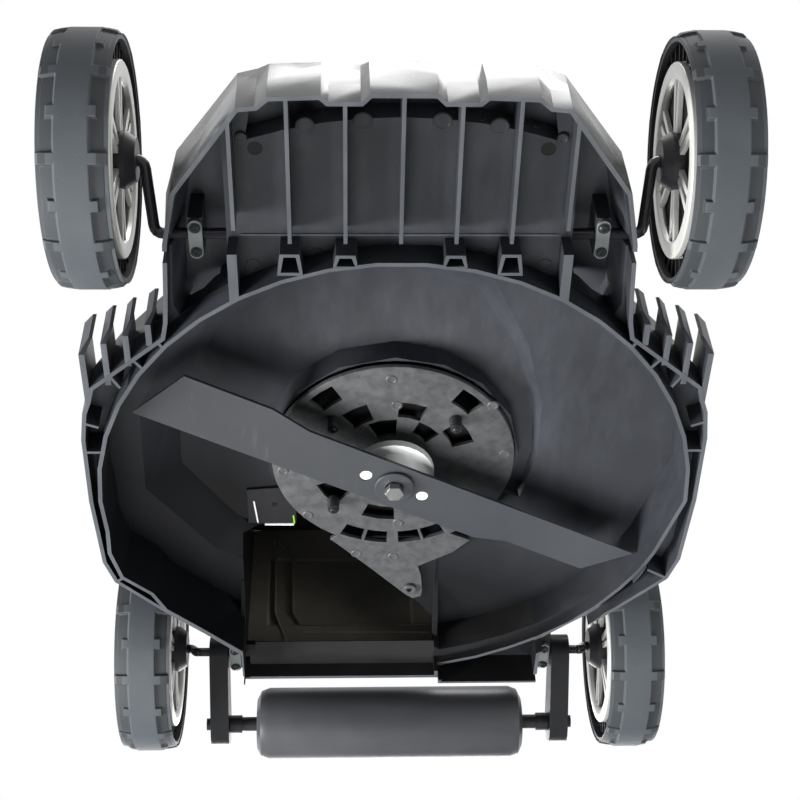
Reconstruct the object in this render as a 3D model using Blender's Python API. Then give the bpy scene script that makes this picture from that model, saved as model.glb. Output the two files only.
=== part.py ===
# Rotary lawn mower with a double-walled volute deck, four wheels, a rear roller and a folding handle.
# Metres, +Z up, front towards -Y, standing on the ground at z = 0.
# Lengths along the machine are written from the front wheel axis and moved to the world by one empty.

from math import atan2, cos, degrees, pi, radians, sin, sqrt

import bmesh
import bpy
from mathutils import Matrix, Vector

for stale in list(bpy.data.objects):
    bpy.data.objects.remove(stale)

# Fits
SEAT_GAP = 0.0003
RUN_GAP = 0.0006
LAP = 0.0010

# Wheels and track
WHEEL_RADIUS = 0.100
TYRE_WIDTH = 0.0528
WHEELBASE = 0.5764
WHEEL_INNER_X = 0.2107
RIM_RADIUS = 0.0950
HUB_RADIUS = 0.0225
TRIM_RADIUS = 0.0765
AXLE_RADIUS = 0.0045

# Axle rods: the middle of each rod is the pivot, its ends carry the wheels
PIVOT_DROP = 0.0320
FRONT_CRANK_REACH = 0.0464
REAR_CRANK_REACH = 0.0287
REAR_PIVOT_DROP = 0.0290
CRANK_X = 0.1930
FRONT_CLAMP_X = 0.1580
REAR_CLAMP_X = 0.1515
CLAMP_WIDTH = 0.0110
CLAMP_LENGTH = 0.0360
CLAMP_THICK = 0.0040

# Deck
GROUND_TO_RIM = 0.0360
SKIRT_TOP = 0.0620
SHOULDER_Z = 0.0990
FLANGE_Z = 0.1300
WALL = 0.0035
RIB = 0.0030
RIB_PITCH = 0.0422
FLOOR_Z = 0.0600
FLOOR_THICK = 0.0030

# Cutting chamber, measured from the motor axis
MOTOR_Y = 0.3080
CHAMBER_RADIUS = 0.2535
REAR_RADIUS = 0.2430
REAR_CEILING_Z = 0.0625
CEILING_Z = 0.0960
BLADE_RADIUS = 0.2390
BLADE_WIDTH = 0.0480
BLADE_THICK = 0.0030
BLADE_Z = 0.0560
BLADE_ANGLE = radians(27.2)
PLATE_RADIUS = 0.1100
PLATE_Z = 0.0890
PLATE_THICK = 0.0040
MOTOR_RADIUS = 0.0800
MOTOR_TOP = 0.2050
SHAFT_RADIUS = 0.0085

# Discharge tunnel
TUNNEL_LEFT = -0.1410
TUNNEL_RIGHT = 0.0430
TUNNEL_TOP = 0.2460
DECK_REAR = 0.5552
SILL_TOP = 0.0803
ROD_ROOF = 0.0768
SILL_Y = 0.5315
SILL_NOSE_Z = 0.0700
SILL_BEND_Z = 0.0590
SILL_EDGE_Z = 0.0433
FLAP_THICK = 0.0040
FLAP_TOP_Z = 0.2680
FLAP_Y = DECK_REAR + 0.0080
FLAP_PIN_RADIUS = 0.0020
FLAP_DISH_TOP = 0.2320

# Roller
ROLLER_RADIUS = 0.0356
ROLLER_HALF = 0.1310
ROLLER_SHAFT_RADIUS = 0.0070
ROLLER_Y = 0.6157
ARM_X = 0.1675
ARM_THICK = 0.0180

# Hood
HOOD_TOP = 0.2820
HOOD_WALL = 0.0030

# Handle
TUBE_RADIUS = 0.0125
HANDLE_X = 0.1880
HANDLE_ANGLE = radians(46.0)
HANDLE_PIVOT_Y = 0.5000
HANDLE_PIVOT_Z = 0.1900
LOWER_LENGTH = 0.5800
UPPER_LENGTH = 0.4800
GRIP_RADIUS = 0.0170

# Worked-out places
DECK_NOSE_Y = -0.0950
LOWER_DIRECTION = Vector((0.0, cos(HANDLE_ANGLE), sin(HANDLE_ANGLE)))
PIVOT_Z = WHEEL_RADIUS - PIVOT_DROP
FRONT_PIVOT_Y = FRONT_CRANK_REACH
REAR_PIVOT_Y = WHEELBASE - REAR_CRANK_REACH
REAR_PIVOT_Z = WHEEL_RADIUS - REAR_PIVOT_DROP
FRONT_PIVOT = (FRONT_PIVOT_Y, PIVOT_Z)
REAR_PIVOT = (REAR_PIVOT_Y, REAR_PIVOT_Z)
WHEEL_MID_X = WHEEL_INNER_X + TYRE_WIDTH / 2
FOLD_GAP_X = 2 * TUBE_RADIUS + 0.0010
UPPER_X = HANDLE_X + FOLD_GAP_X
HANDLE_PIVOT = Vector((0.0, HANDLE_PIVOT_Y, HANDLE_PIVOT_Z))
FOLD_POINT = HANDLE_PIVOT + LOWER_DIRECTION * LOWER_LENGTH
HANDLE_END = FOLD_POINT + LOWER_DIRECTION * UPPER_LENGTH
OVERALL_REAR = HANDLE_END.y + GRIP_RADIUS
FRONT_AXLE_Y = -(OVERALL_REAR - WHEEL_RADIUS) / 2
FRAME = bpy.data.objects.new("mower_frame", None)
FRAME.location = (0.0, FRONT_AXLE_Y, 0.0)
bpy.context.scene.collection.objects.link(FRAME)


# Materials
def material(name, colour, roughness, metallic=0.0):
    made = bpy.data.materials.new(name)
    made.use_nodes = True
    shader = made.node_tree.nodes["Principled BSDF"]
    shader.inputs["Base Color"].default_value = (*colour, 1.0)
    shader.inputs["Roughness"].default_value = roughness
    shader.inputs["Metallic"].default_value = metallic
    made.diffuse_color = (*colour, 1.0)
    return made


DECK_PLASTIC = ("deck_plastic", (0.030, 0.032, 0.036), 0.45, 0.0)
HOOD_PLASTIC = ("hood_plastic", (0.022, 0.023, 0.025), 0.38, 0.0)
GREEN_PLASTIC = ("green_plastic", (0.30, 0.62, 0.03), 0.35, 0.0)
BLACK_PLASTIC = ("black_plastic", (0.015, 0.015, 0.017), 0.50, 0.0)
FLAP_PLASTIC = ("flap_plastic", (0.030, 0.029, 0.024), 0.45, 0.0)
RUBBER = ("rubber", (0.085, 0.095, 0.105), 0.75, 0.0)
SILVER = ("silver_trim", (0.72, 0.73, 0.73), 0.30, 0.0)
ROD_STEEL = ("painted_rod", (0.012, 0.012, 0.014), 0.20, 0.6)
BLADE_STEEL = ("blade_steel", (0.115, 0.125, 0.135), 0.45, 0.7)
BRIGHT_STEEL = ("bright_steel", (0.55, 0.55, 0.54), 0.25, 1.0)
WHITE_PLASTIC = ("white_plastic", (0.78, 0.80, 0.78), 0.40, 0.0)
ALUMINIUM = ("aluminium", (0.45, 0.46, 0.47), 0.35, 1.0)
FOAM = ("grip_foam", (0.02, 0.02, 0.02), 0.90, 0.0)
RED_PLASTIC = ("red_plastic", (0.55, 0.03, 0.02), 0.40, 0.0)


# Making objects
def is_flat(face):
    """Whether a face's corners lie in one plane, to a micrometre."""
    first = face.verts[0].co
    face.normal_update()
    return all(abs((vert.co - first).dot(face.normal)) < 1e-6 for vert in face.verts)


def piece(name, bm, finish, origin=(0.0, 0.0, 0.0), smooth=35.0):
    """Turn a bmesh, modelled from the front wheel axis, into a named object with its own origin."""
    at = Vector(origin)
    bmesh.ops.translate(bm, verts=bm.verts, vec=-at)
    bmesh.ops.triangulate(bm, faces=[face for face in bm.faces if not is_flat(face)])
    bmesh.ops.recalc_face_normals(bm, faces=bm.faces)
    mesh = bpy.data.meshes.new(name)
    bm.to_mesh(mesh)
    bm.free()
    mesh.shade_smooth()
    mesh.set_sharp_from_angle(angle=radians(smooth))
    mesh.materials.append(material(f"{name}_{finish[0]}", *finish[1:]))
    made = bpy.data.objects.new(name, mesh)
    made.location = at
    made.parent = FRAME
    bpy.context.scene.collection.objects.link(made)
    return made


def helper(name, bm, origin=(0.0, 0.0, 0.0)):
    """A cutter or an added lump: never a piece by itself."""
    made = piece(name, bm, BLACK_PLASTIC, origin)
    made.hide_render = True
    made.display_type = "WIRE"
    return made


def combine(target, tool, operation="DIFFERENCE"):
    """Add one Boolean to the target, made by a helper."""
    step = target.modifiers.new(f"{operation.lower()}_{tool.name}", "BOOLEAN")
    step.operation = operation
    step.solver = "EXACT"
    step.object = tool
    return target


def sections_to_solid(sections, into=None):
    """Skin a row of outlines that have the same number of points, and close both ends."""
    bm = into or bmesh.new()
    rows = [[bm.verts.new(point) for point in outline] for outline in sections]
    for low, high in zip(rows, rows[1:]):
        for i in range(len(low)):
            j = (i + 1) % len(low)
            bm.faces.new((low[i], low[j], high[j], high[i]))
    bm.faces.new(list(reversed(rows[0])))
    bm.faces.new(rows[-1])
    return bm


def prism(outline, low, high, into=None):
    """An upright prism over a flat outline of (x, y) points."""
    return sections_to_solid([[(x, y, z) for x, y in outline] for z in (low, high)], into)


def box(low, high, into=None):
    outline = [(low[0], low[1]), (high[0], low[1]), (high[0], high[1]), (low[0], high[1])]
    return prism(outline, low[2], high[2], into)


def mirrored(half):
    """Close a half outline, listed front to rear at positive x, over the middle plane."""
    left = [(-x, y) for x, y in reversed(half) if x > 0.0]
    return list(half) + left


def arc(centre, radius, start, end, steps):
    """Points on an arc, with both ends, angles in degrees."""
    angles = [radians(start + (end - start) * i / steps) for i in range(steps + 1)]
    return [(centre[0] + radius * cos(a), centre[1] + radius * sin(a)) for a in angles]


def circle(centre, radius, steps=24):
    return arc(centre, radius, 0.0, 360.0 * (steps - 1) / steps, steps - 1)


def turned(profile, centre, axis="X", steps=32, into=None):
    """Turn a closed profile of (along, radius) points once round an axis through the centre."""
    rings = []
    for i in range(steps):
        angle = 2 * pi * i / steps
        c, s = cos(angle), sin(angle)
        ring = []
        for along, radius in profile:
            local = {"X": (along, radius * c, radius * s),
                     "Y": (radius * s, along, radius * c),
                     "Z": (radius * c, radius * s, along)}[axis]
            ring.append(Vector(centre) + Vector(local))
        rings.append(ring)
    bm = into or bmesh.new()
    rows = [[bm.verts.new(point) for point in ring] for ring in rings]
    for i in range(steps):
        here, there = rows[i], rows[(i + 1) % steps]
        for j in range(len(profile)):
            k = (j + 1) % len(profile)
            if profile[j][1] == 0.0 and profile[k][1] == 0.0:
                continue
            bm.faces.new((here[j], here[k], there[k], there[j]))
    bmesh.ops.remove_doubles(bm, verts=bm.verts, dist=1e-7)
    bmesh.ops.dissolve_degenerate(bm, edges=bm.edges, dist=1e-7)
    return bm


def rounded_path(corners, bend, steps=5):
    """A path through corners, each rounded with the same bend radius."""
    points = [Vector(corners[0])]
    for before, at, after in zip(corners, corners[1:], corners[2:]):
        at = Vector(at)
        back = (Vector(before) - at).normalized()
        ahead = (Vector(after) - at).normalized()
        half = back.angle(ahead) / 2
        reach = bend / max(0.2, sin(half) / cos(half))
        start, end = at + back * reach, at + ahead * reach
        for i in range(steps + 1):
            t = i / steps
            points.append(start * (1 - t) ** 2 + at * 2 * t * (1 - t) + end * t ** 2)
    points.append(Vector(corners[-1]))
    return points


# Deck outlines: half outlines from the nose to the rear, with matching points
RIM_HALF = [(0.0, -0.0950), (0.0245, -0.0950), (0.0310, -0.0883), (0.0540, -0.0883), (0.0595, -0.0935),
            (0.0980, -0.0920), (0.1065, -0.0845), (0.1206, -0.0830), (0.1717, -0.0110), (0.1810, 0.0350),
            (0.1836, 0.0790), (0.1860, 0.1100), (0.1890, 0.1250), (0.2510, 0.1770), (0.2554, 0.1930),
            (0.2599, 0.2047), (0.2639, 0.2336), (0.2650, 0.3060), (0.2610, 0.3820), (0.2526, 0.4080),
            (0.2097, 0.4500), (0.1763, 0.4790), (0.1430, 0.5105), (0.1422, DECK_REAR), (0.0, DECK_REAR)]
SHOULDER_HALF = [(0.0, -0.0860), (0.0245, -0.0860), (0.0310, -0.0830), (0.0540, -0.0830), (0.0595, -0.0855),
                 (0.0980, -0.0840), (0.1065, -0.0800), (0.1220, -0.0760), (0.1720, -0.0090), (0.1830, 0.0300),
                 (0.1862, 0.0750), (0.1890, 0.1120), (0.1930, 0.1300), (0.2300, 0.1680), (0.2390, 0.1900),
                 (0.2500, 0.2050), (0.2610, 0.2338), (0.2620, 0.3060), (0.2590, 0.3805), (0.2512, 0.4065),
                 (0.2090, 0.4488), (0.1756, 0.4780), (0.1422, 0.5098), (0.1414, 0.5490), (0.0, 0.5490)]
FLANGE_HALF = [(0.0, -0.0620), (0.0240, -0.0620), (0.0300, -0.0610), (0.0520, -0.0600), (0.0580, -0.0600),
               (0.0920, -0.0570), (0.1000, -0.0530), (0.1100, -0.0480), (0.1500, 0.0080), (0.1600, 0.0400),
               (0.1640, 0.0760), (0.1660, 0.1080), (0.1680, 0.1280), (0.1900, 0.1600), (0.2000, 0.1840),
               (0.2070, 0.2040), (0.2120, 0.2360), (0.2140, 0.3060), (0.2100, 0.3700), (0.2000, 0.3950),
               (0.1900, 0.4300), (0.1780, 0.4560), (0.1380, 0.4950), (0.1360, 0.5450), (0.0, 0.5450)]
WELL_HALF = [(0.0, -0.0450), (0.0900, -0.0380), (0.1160, -0.0150), (0.1360, 0.0180), (0.1460, 0.0600),
             (0.1520, 0.1200), (0.1640, 0.1800), (0.1720, 0.2400), (0.1740, 0.3060), (0.1680, 0.3700),
             (0.1590, 0.4050), (0.0, 0.4050)]
MOTOR_AXIS = (0.0, MOTOR_Y)


def polar(radius, angle):
    """A point round the motor axis, angle in degrees from +X."""
    return (MOTOR_AXIS[0] + radius * cos(radians(angle)), MOTOR_AXIS[1] + radius * sin(radians(angle)))


# Radii of the chamber's rear arc above the blade's height, from the tunnel mouth to the side
REAR_STEPS = [(78.0, 0.2330), (70.0, 0.2330), (62.0, 0.2345), (54.0, 0.2370), (46.0, 0.2400), (38.0, 0.2430),
              (30.0, 0.2430), (22.0, 0.2430), (14.0, 0.2430)]


def chamber_outline(narrow=False):
    """Inner wall of the cutting chamber: front arc, left side, corner, tunnel mouth, rear arc.

    The narrow form makes room for the rear axle rod above the blade's height.
    """
    front = arc(MOTOR_AXIS, CHAMBER_RADIUS, 0.0, -188.0, 22)
    left = [(-0.2520, 0.3700), (-0.2440, 0.4010), (-0.2190, 0.4230), (-0.2080, 0.4450)]
    corner = [(-0.1760, 0.4735), (TUNNEL_LEFT, 0.5060), (TUNNEL_LEFT, DECK_REAR - WALL)]
    mouth = [(TUNNEL_RIGHT, DECK_REAR - WALL)]
    rear = [polar(radius if narrow else REAR_RADIUS, angle) for angle, radius in REAR_STEPS]
    return front + left + corner + mouth + rear


def grown(outline, amount):
    """Move every corner of a closed outline outwards by a wall's thickness."""
    area = sum(a[0] * b[1] - b[0] * a[1] for a, b in zip(outline, outline[1:] + outline[:1]))
    side = amount if area > 0.0 else -amount
    moved = []
    for i, here in enumerate(outline):
        before, after = Vector(outline[i - 1]), Vector(outline[(i + 1) % len(outline)])
        enter = (Vector(here) - before).normalized()
        leave = (after - Vector(here)).normalized()
        normal = Vector((enter.y + leave.y, -enter.x - leave.x))
        normal.normalize()
        stretch = max(0.6, normal.dot(Vector((enter.y, -enter.x))))
        moved.append((here[0] + normal.x * side / stretch, here[1] + normal.y * side / stretch))
    return moved


# The volute: the channel round the motor plate starts on the right, runs round the front and
# the left side and rises all the way into the discharge tunnel
VOLUTE = [(24.0, 0.1300, 0.1000), (0.0, 0.1310, 0.1040), (-25.0, 0.1440, 0.1090), (-48.0, 0.1710, 0.1130),
          (-68.0, 0.2150, 0.1165), (-90.0, 0.2300, 0.1190), (-115.0, 0.2300, 0.1210), (-140.0, 0.2300, 0.1225),
          (-165.0, 0.2320, 0.1240), (-190.0, 0.2300, 0.1250), (-215.0, 0.2050, 0.1260), (-240.0, 0.1900, 0.1260)]


def volute(name, grow):
    """The channel as a solid: one four-sided section for each station, wider at its foot than its top.

    Grown by a wall it is the channel's skin, which starts and ends a little beyond the channel.
    """
    inner = PLATE_RADIUS + SEAT_GAP + (-2 * LAP if grow else WALL)
    low = CEILING_Z + (LAP if grow else -LAP)
    sections = []
    for i, (angle, foot, top) in enumerate(VOLUTE):
        if grow and i in (0, len(VOLUTE) - 1):
            angle += 2.5 if i == 0 else -2.5
        shoulder = inner + (foot - inner) * 0.72
        profile = [(inner, low), (foot + grow, low), (shoulder + grow, top + grow), (inner, top + grow)]
        sections.append([(*polar(radius, angle), z) for radius, z in profile])
    return helper(name, sections_to_solid(sections))


def tunnel(name, grow):
    """The discharge tunnel: rises from the left of the motor plate to the flap."""
    left, right = TUNNEL_LEFT - grow, TUNNEL_RIGHT + grow
    low = CEILING_Z + (LAP if grow else -LAP)
    floor = SILL_TOP - grow
    stations = [(0.4250 - grow, low, 0.1650), (0.4700, low, 0.2080), (0.5100, floor if grow else low, TUNNEL_TOP),
                (SILL_Y - 0.0080, floor if grow else low, TUNNEL_TOP),
                (SILL_Y, floor if grow else SILL_NOSE_Z + 0.0008, TUNNEL_TOP),
                (SILL_Y + 0.0115, floor, TUNNEL_TOP),
                (DECK_REAR if grow else DECK_REAR + 0.0100, floor, TUNNEL_TOP)]
    sections = []
    for y, bottom, top in stations:
        sections.append([(left, y, bottom), (right, y, bottom), (right, y, top + grow), (left, y, top + grow)])
    return helper(name, sections_to_solid(sections))


def along_x(profile, left, right, into=None):
    """A prism along X over a profile of (y, z) points."""
    return sections_to_solid([[(x, y, z) for y, z in profile] for x in (left, right)], into)


def bar(start, end, thick, low, high, into=None):
    """An upright web between two (x, y) points."""
    ahead = (Vector(end) - Vector(start)).normalized()
    side = Vector((-ahead.y, ahead.x)) * thick / 2
    a, b = Vector(start), Vector(end)
    return prism([tuple(a - side), tuple(b - side), tuple(b + side), tuple(a + side)], low, high, into)


def blended(first, second, share):
    return [(a[0] + (b[0] - a[0]) * share, a[1] + (b[1] - a[1]) * share) for a, b in zip(first, second)]


def both(points):
    """The same (x, y) points on the left and on the right."""
    return [[(side * x, y) for x, y in points] for side in (-1, 1)]


# Comb teeth in front of each side of the deck: outer edge x, root y, shoulder y and tip (x, y)
TEETH = [(0.2010, 0.1330, 0.1120, 0.1955, 0.1070), (0.2195, 0.1540, 0.1230, 0.2140, 0.1160),
         (0.2375, 0.1740, 0.1310, 0.2310, 0.1240), (0.2560, 0.1930, 0.1420, 0.2480, 0.1330)]
TOOTH_THICK = 0.0048
TOOTH_TOP = 0.0780


def tooth(side, row, into):
    """One upright tooth: flat at the rim, its nose drawn in and raised to a blunt point."""
    x, root, shoulder, tip_x, tip_y = row
    nose_z = GROUND_TO_RIM + 0.0120
    stations = [(x, root, GROUND_TO_RIM + SEAT_GAP, TOOTH_THICK), (x, shoulder, GROUND_TO_RIM + SEAT_GAP, TOOTH_THICK),
                (tip_x, tip_y, nose_z, TOOTH_THICK * 0.6)]
    sections = []
    for outer, y, low, thick in stations:
        sections.append([(side * outer, y, low), (side * (outer - thick), y, low),
                         (side * (outer - thick), y, TOOTH_TOP), (side * outer, y, TOOTH_TOP)])
    return sections_to_solid(sections, into)


def ribs(low, high):
    """Seven ribs behind the nose; the outer pair stops short of the axle clamps."""
    bm = bmesh.new()
    for k in range(-3, 4):
        rear = 0.0220 if abs(k) == 3 else 0.0340
        box((k * RIB_PITCH - RIB / 2, DECK_NOSE_Y, low), (k * RIB_PITCH + RIB / 2, rear, high), bm)
    return bm


def webs(low, high):
    """Webs that tie the chamber wall to the skin, and the posts beside the axle clamps."""
    bm = bmesh.new()
    spans = [((0.1860, 0.1380), (0.1955, 0.1250)), ((0.2060, 0.1570), (0.2160, 0.1440)),
             ((0.2260, 0.1770), (0.2360, 0.1600)), ((0.2480, 0.2200), (0.2660, 0.2130)),
             ((0.2480, 0.2480), (0.2680, 0.2480)), ((0.2330, 0.3960), (0.2560, 0.4100)),
             ((0.1290, 0.0440), (0.1290, 0.0900)), ((0.1560, 0.4880), (0.1800, 0.4780))]
    for start, end in spans:
        for left_or_right in both([start, end]):
            bar(*left_or_right, 0.0025 if start[1] != 0.0440 else 0.0075, low, high, bm)
    return bm


def side_pocket(side):
    """The deep pocket beside each axle clamp, narrower at its ceiling than at the rim."""
    rear = [(MOTOR_AXIS[0] + (CHAMBER_RADIUS + WALL) * cos(radians(a)),
             MOTOR_AXIS[1] + (CHAMBER_RADIUS + WALL) * sin(radians(a))) for a in (-47.0, -53.0, -58.6)]
    front = [(0.1340, -0.0480), (0.1400, -0.0480), (0.1675, -0.0080), (0.1765, 0.0360), (0.1800, 0.1100)]
    foot = front + rear
    ceiling = [(x - 0.0085 if x > 0.15 else x, y) for x, y in front] + [(x - 0.0085 if x > 0.15 else x, y)
                                                                       for x, y in rear]
    sections = [[(side * x, y, z) for x, y in outline]
                for outline, z in ((foot, 0.0300), (foot, FLOOR_Z), (ceiling, CEILING_Z))]
    return sections_to_solid(sections)


def socket(x, front, rear, into_walls, into_hollows):
    """A hollow upright post with sloping sides: outer block and its hollow."""
    half = 0.0100
    wall = 0.0028
    outer = [(x - half * 0.75, front), (x + half * 0.75, front), (x + half, rear), (x - half, rear)]
    inner = [(x - half * 0.75 + wall, front + wall), (x + half * 0.75 - wall, front + wall),
             (x + half - wall, rear - wall), (x - half + wall, rear - wall)]
    prism(outer, GROUND_TO_RIM + SEAT_GAP, FLOOR_Z + LAP, into_walls)
    prism(inner, GROUND_TO_RIM - LAP, FLOOR_Z - 0.0010, into_hollows)


def deck():
    """The double-walled deck: outer skin, volute chamber, front ribs, sockets, teeth and axle saddles."""
    rim, shoulder, flange = mirrored(RIM_HALF), mirrored(SHOULDER_HALF), mirrored(FLANGE_HALF)
    well = mirrored(WELL_HALF)
    chamber = chamber_outline()
    narrow = chamber_outline(narrow=True)
    levels = [(rim, GROUND_TO_RIM), (rim, SKIRT_TOP), (shoulder, SHOULDER_Z),
              (blended(shoulder, flange, 0.35), 0.1120), (flange, FLANGE_Z)]
    made = piece("deck", sections_to_solid([[(x, y, z) for x, y in line] for line, z in levels]), DECK_PLASTIC)

    # The chamber from below, the well under the hood from above
    combine(made, helper("chamber", prism(chamber_front(narrow), GROUND_TO_RIM - 0.01, CEILING_Z)))
    combine(made, helper("blade_groove", blade_groove()))
    combine(made, sill_cutter())
    combine(made, sill_edge())
    combine(made, helper("well", prism(well, CEILING_Z + WALL, FLANGE_Z + 0.01)))
    combine(made, helper("nose_well", box((-0.1150, -0.0330, FLOOR_Z + FLOOR_THICK), (0.1150, 0.0340, 0.1100))))

    # The volute and the tunnel are lumps on the ceiling first, then hollowed from below
    combine(made, volute("volute_skin", WALL), "UNION")
    combine(made, tunnel("tunnel_skin", WALL), "UNION")
    combine(made, rear_lugs(), "UNION")
    combine(made, flap_ears(), "UNION")
    pin_way = [(TUNNEL_LEFT - WALL - 0.0030, 0.0), (TUNNEL_LEFT - WALL - 0.0030, FLAP_PIN_RADIUS + SEAT_GAP),
               (TUNNEL_RIGHT + WALL + 0.0030, FLAP_PIN_RADIUS + SEAT_GAP), (TUNNEL_RIGHT + WALL + 0.0030, 0.0)]
    combine(made, helper("pin_way", turned(pin_way, (0.0, FLAP_Y, FLAP_TOP_Z), "X", 10)))
    opening = turned([(CEILING_Z - 0.003, 0.0), (CEILING_Z - 0.003, PLATE_RADIUS + SEAT_GAP),
                      (FLANGE_Z + 0.04, PLATE_RADIUS + SEAT_GAP), (FLANGE_Z + 0.04, 0.0)],
                     (*MOTOR_AXIS, 0.0), "Z", 48)
    combine(made, helper("motor_opening", opening))
    combine(made, volute("volute_hollow", 0.0))
    combine(made, tunnel("tunnel_hollow", 0.0))

    # The gap between skin and chamber wall, less what stays as ribs and webs
    gap = helper("wall_gap", prism(grown(rim, -WALL), GROUND_TO_RIM - 0.01, FLOOR_Z))
    combine(gap, helper("chamber_wall", prism(grown(chamber, WALL), GROUND_TO_RIM - 0.02, FLOOR_Z + 0.02)))
    combine(gap, helper("ribs", ribs(GROUND_TO_RIM - 0.02, FLOOR_Z + 0.02)))
    combine(gap, helper("webs", webs(GROUND_TO_RIM - 0.02, FLOOR_Z + 0.02)))
    combine(made, gap)
    recess = helper("nose_recess", nose_recess())
    combine(recess, helper("recess_ribs", ribs(GROUND_TO_RIM - 0.02, 0.09)))
    combine(made, recess)
    for side in (-1, 1):
        combine(made, helper(f"side_pocket_{'left' if side > 0 else 'right'}", side_pocket(side)))

    # What stands in the compartments
    posts, hollows = bmesh.new(), bmesh.new()
    for x, front, rear in ((-0.0850, 0.0440, 0.0640), (-0.0422, 0.0450, 0.0580), (0.0422, 0.0450, 0.0580),
                           (0.0850, 0.0440, 0.0640)):
        socket(x, front, rear, posts, hollows)
    combine(made, helper("posts", posts), "UNION")
    combine(made, helper("post_hollows", hollows))
    combine(made, helper("front_saddles", front_saddles()), "UNION")
    teeth = bmesh.new()
    for side in (-1, 1):
        for row in TEETH:
            tooth(side, row, teeth)
    combine(made, helper("teeth", teeth), "UNION")
    combine(made, helper("front_rod_way", front_rod_way()))
    combine(made, helper("crank_slots", crank_slots()))
    combine(made, helper("rear_rod_way", rear_rod_way()))
    rod_gap = helper("rod_gap", open_rod_gap())
    combine(rod_gap, helper("groove_wall", prism(grown(chamber, WALL + 0.0006), GROUND_TO_RIM - 0.02,
                                                REAR_CEILING_Z + 0.0030)))
    combine(made, rod_gap)
    combine(made, helper("raised_rim", raised_rim()))
    combine(made, helper("rear_rod_slots", rear_rod_slots()))
    return made


def chamber_front(chamber):
    """The chamber's ceiling area: its rear edge is the tunnel mouth, in front of the sloping sill."""
    return [(x, min(y, SILL_Y)) if TUNNEL_LEFT <= x <= TUNNEL_RIGHT else (x, y) for x, y in chamber]


def blade_groove():
    """Room for the blade's tips at the rear right, below the rear axle rod."""
    outline = [(0.0300, 0.4300), polar(REAR_RADIUS - 0.0015, 37.0)]
    outline += [polar(REAR_RADIUS, angle) for angle, radius in reversed(REAR_STEPS) if angle >= 38.0]
    outline.append((0.0300, 0.5450))
    return prism(outline, GROUND_TO_RIM - 0.0150, REAR_CEILING_Z)


def sill_cutter():
    """Leaves the sill as a wall that rises from the rear edge and leans forwards over the rear axle rod."""
    inner = DECK_REAR - WALL
    profile = [(SILL_Y - 0.03, GROUND_TO_RIM - 0.02), (inner, GROUND_TO_RIM - 0.02), (inner, SILL_BEND_Z),
               (SILL_Y, SILL_NOSE_Z), (SILL_Y - 0.03, SILL_NOSE_Z)]
    return helper("sill_face", along_x(profile, TUNNEL_LEFT, TUNNEL_RIGHT))


def sill_edge():
    """Raises the sill's lower edge over the deck's rim."""
    low = (TUNNEL_LEFT, DECK_REAR - 0.0100, GROUND_TO_RIM - 0.0180)
    return helper("sill_edge", box(low, (TUNNEL_RIGHT + WALL, DECK_REAR + 0.0100, SILL_EDGE_Z)))


def raised_rim():
    """The chamber wall's lower edge rises towards the rear."""
    sections = []
    for angle, top in ((16.0, 0.0361), (30.0, 0.0447), (38.0, 0.0475), (46.0, 0.0500), (54.0, 0.0525),
                       (62.0, 0.0542), (70.0, 0.0545), (79.0, 0.0545)):
        profile = [(REAR_RADIUS - 0.0090, 0.0250), (REAR_RADIUS + WALL + 0.0010, 0.0250),
                   (REAR_RADIUS + WALL + 0.0010, top), (REAR_RADIUS - 0.0090, top)]
        sections.append([(*polar(radius, angle), z) for radius, z in profile])
    return sections_to_solid(sections)


def saddle(pivot, front, roof):
    """An upside-down U over an axle rod, as a profile of (y, z) points."""
    way = AXLE_RADIUS + RUN_GAP
    pivot_y, pivot_z = pivot
    foot = pivot_z - AXLE_RADIUS - SEAT_GAP
    rear = pivot_y + CLAMP_LENGTH / 2
    return [(front, foot), (pivot_y - way, foot), (pivot_y - way, pivot_z + way), (pivot_y + way, pivot_z + way),
            (pivot_y + way, foot), (rear, foot), (rear, roof), (front, roof)]


def rear_lugs():
    """Lugs beside the rear of the deck, with a saddle for the rear axle rod."""
    bm = bmesh.new()
    for side in (-1, 1):
        xs = sorted((side * (REAR_CLAMP_X - 0.0200), side * (REAR_CLAMP_X + CLAMP_WIDTH / 2)))
        profile = saddle(REAR_PIVOT, 0.5180, 0.1250)
        profile[-2:-1] = [(profile[-2][0], SILL_TOP), (DECK_REAR - 0.0006, SILL_TOP), (DECK_REAR - 0.0006, 0.1250)]
        along_x(profile, *xs, bm)
    return helper("rear_lugs", bm)


def flap_ears():
    """Two ears on top of the tunnel's mouth that hold the flap's pin."""
    bm = bmesh.new()
    for x in (TUNNEL_LEFT - WALL - 0.0040, TUNNEL_RIGHT + WALL - 0.0040):
        box((x, DECK_REAR - 0.0300, TUNNEL_TOP + LAP), (x + 0.0080, FLAP_Y + 0.0060, FLAP_TOP_Z + 0.0060), bm)
    return helper("flap_ears", bm)


def front_saddles():
    """Blocks that hang from the side pockets' ceilings and hold the front axle rod."""
    bm = bmesh.new()
    for side in (-1, 1):
        xs = sorted((side * (FRONT_CLAMP_X - CLAMP_WIDTH / 2), side * (FRONT_CLAMP_X + CLAMP_WIDTH / 2)))
        along_x(saddle(FRONT_PIVOT, FRONT_PIVOT_Y - CLAMP_LENGTH / 2, CEILING_Z + LAP), *xs, bm)
    return bm


def nose_recess():
    """The deeper step behind the nose, in front of the compartment's floor."""
    edge = arc((0.0, 0.2960), 0.3580, -71.0, -109.0, 8)
    front = [(-0.1100, -0.0780), (-0.1000, -0.0800), (-0.0300, -0.0820), (0.0300, -0.0820),
             (0.1000, -0.0800), (0.1100, -0.0780)]
    return prism(front + edge, GROUND_TO_RIM - 0.01, 0.0800)


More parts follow.
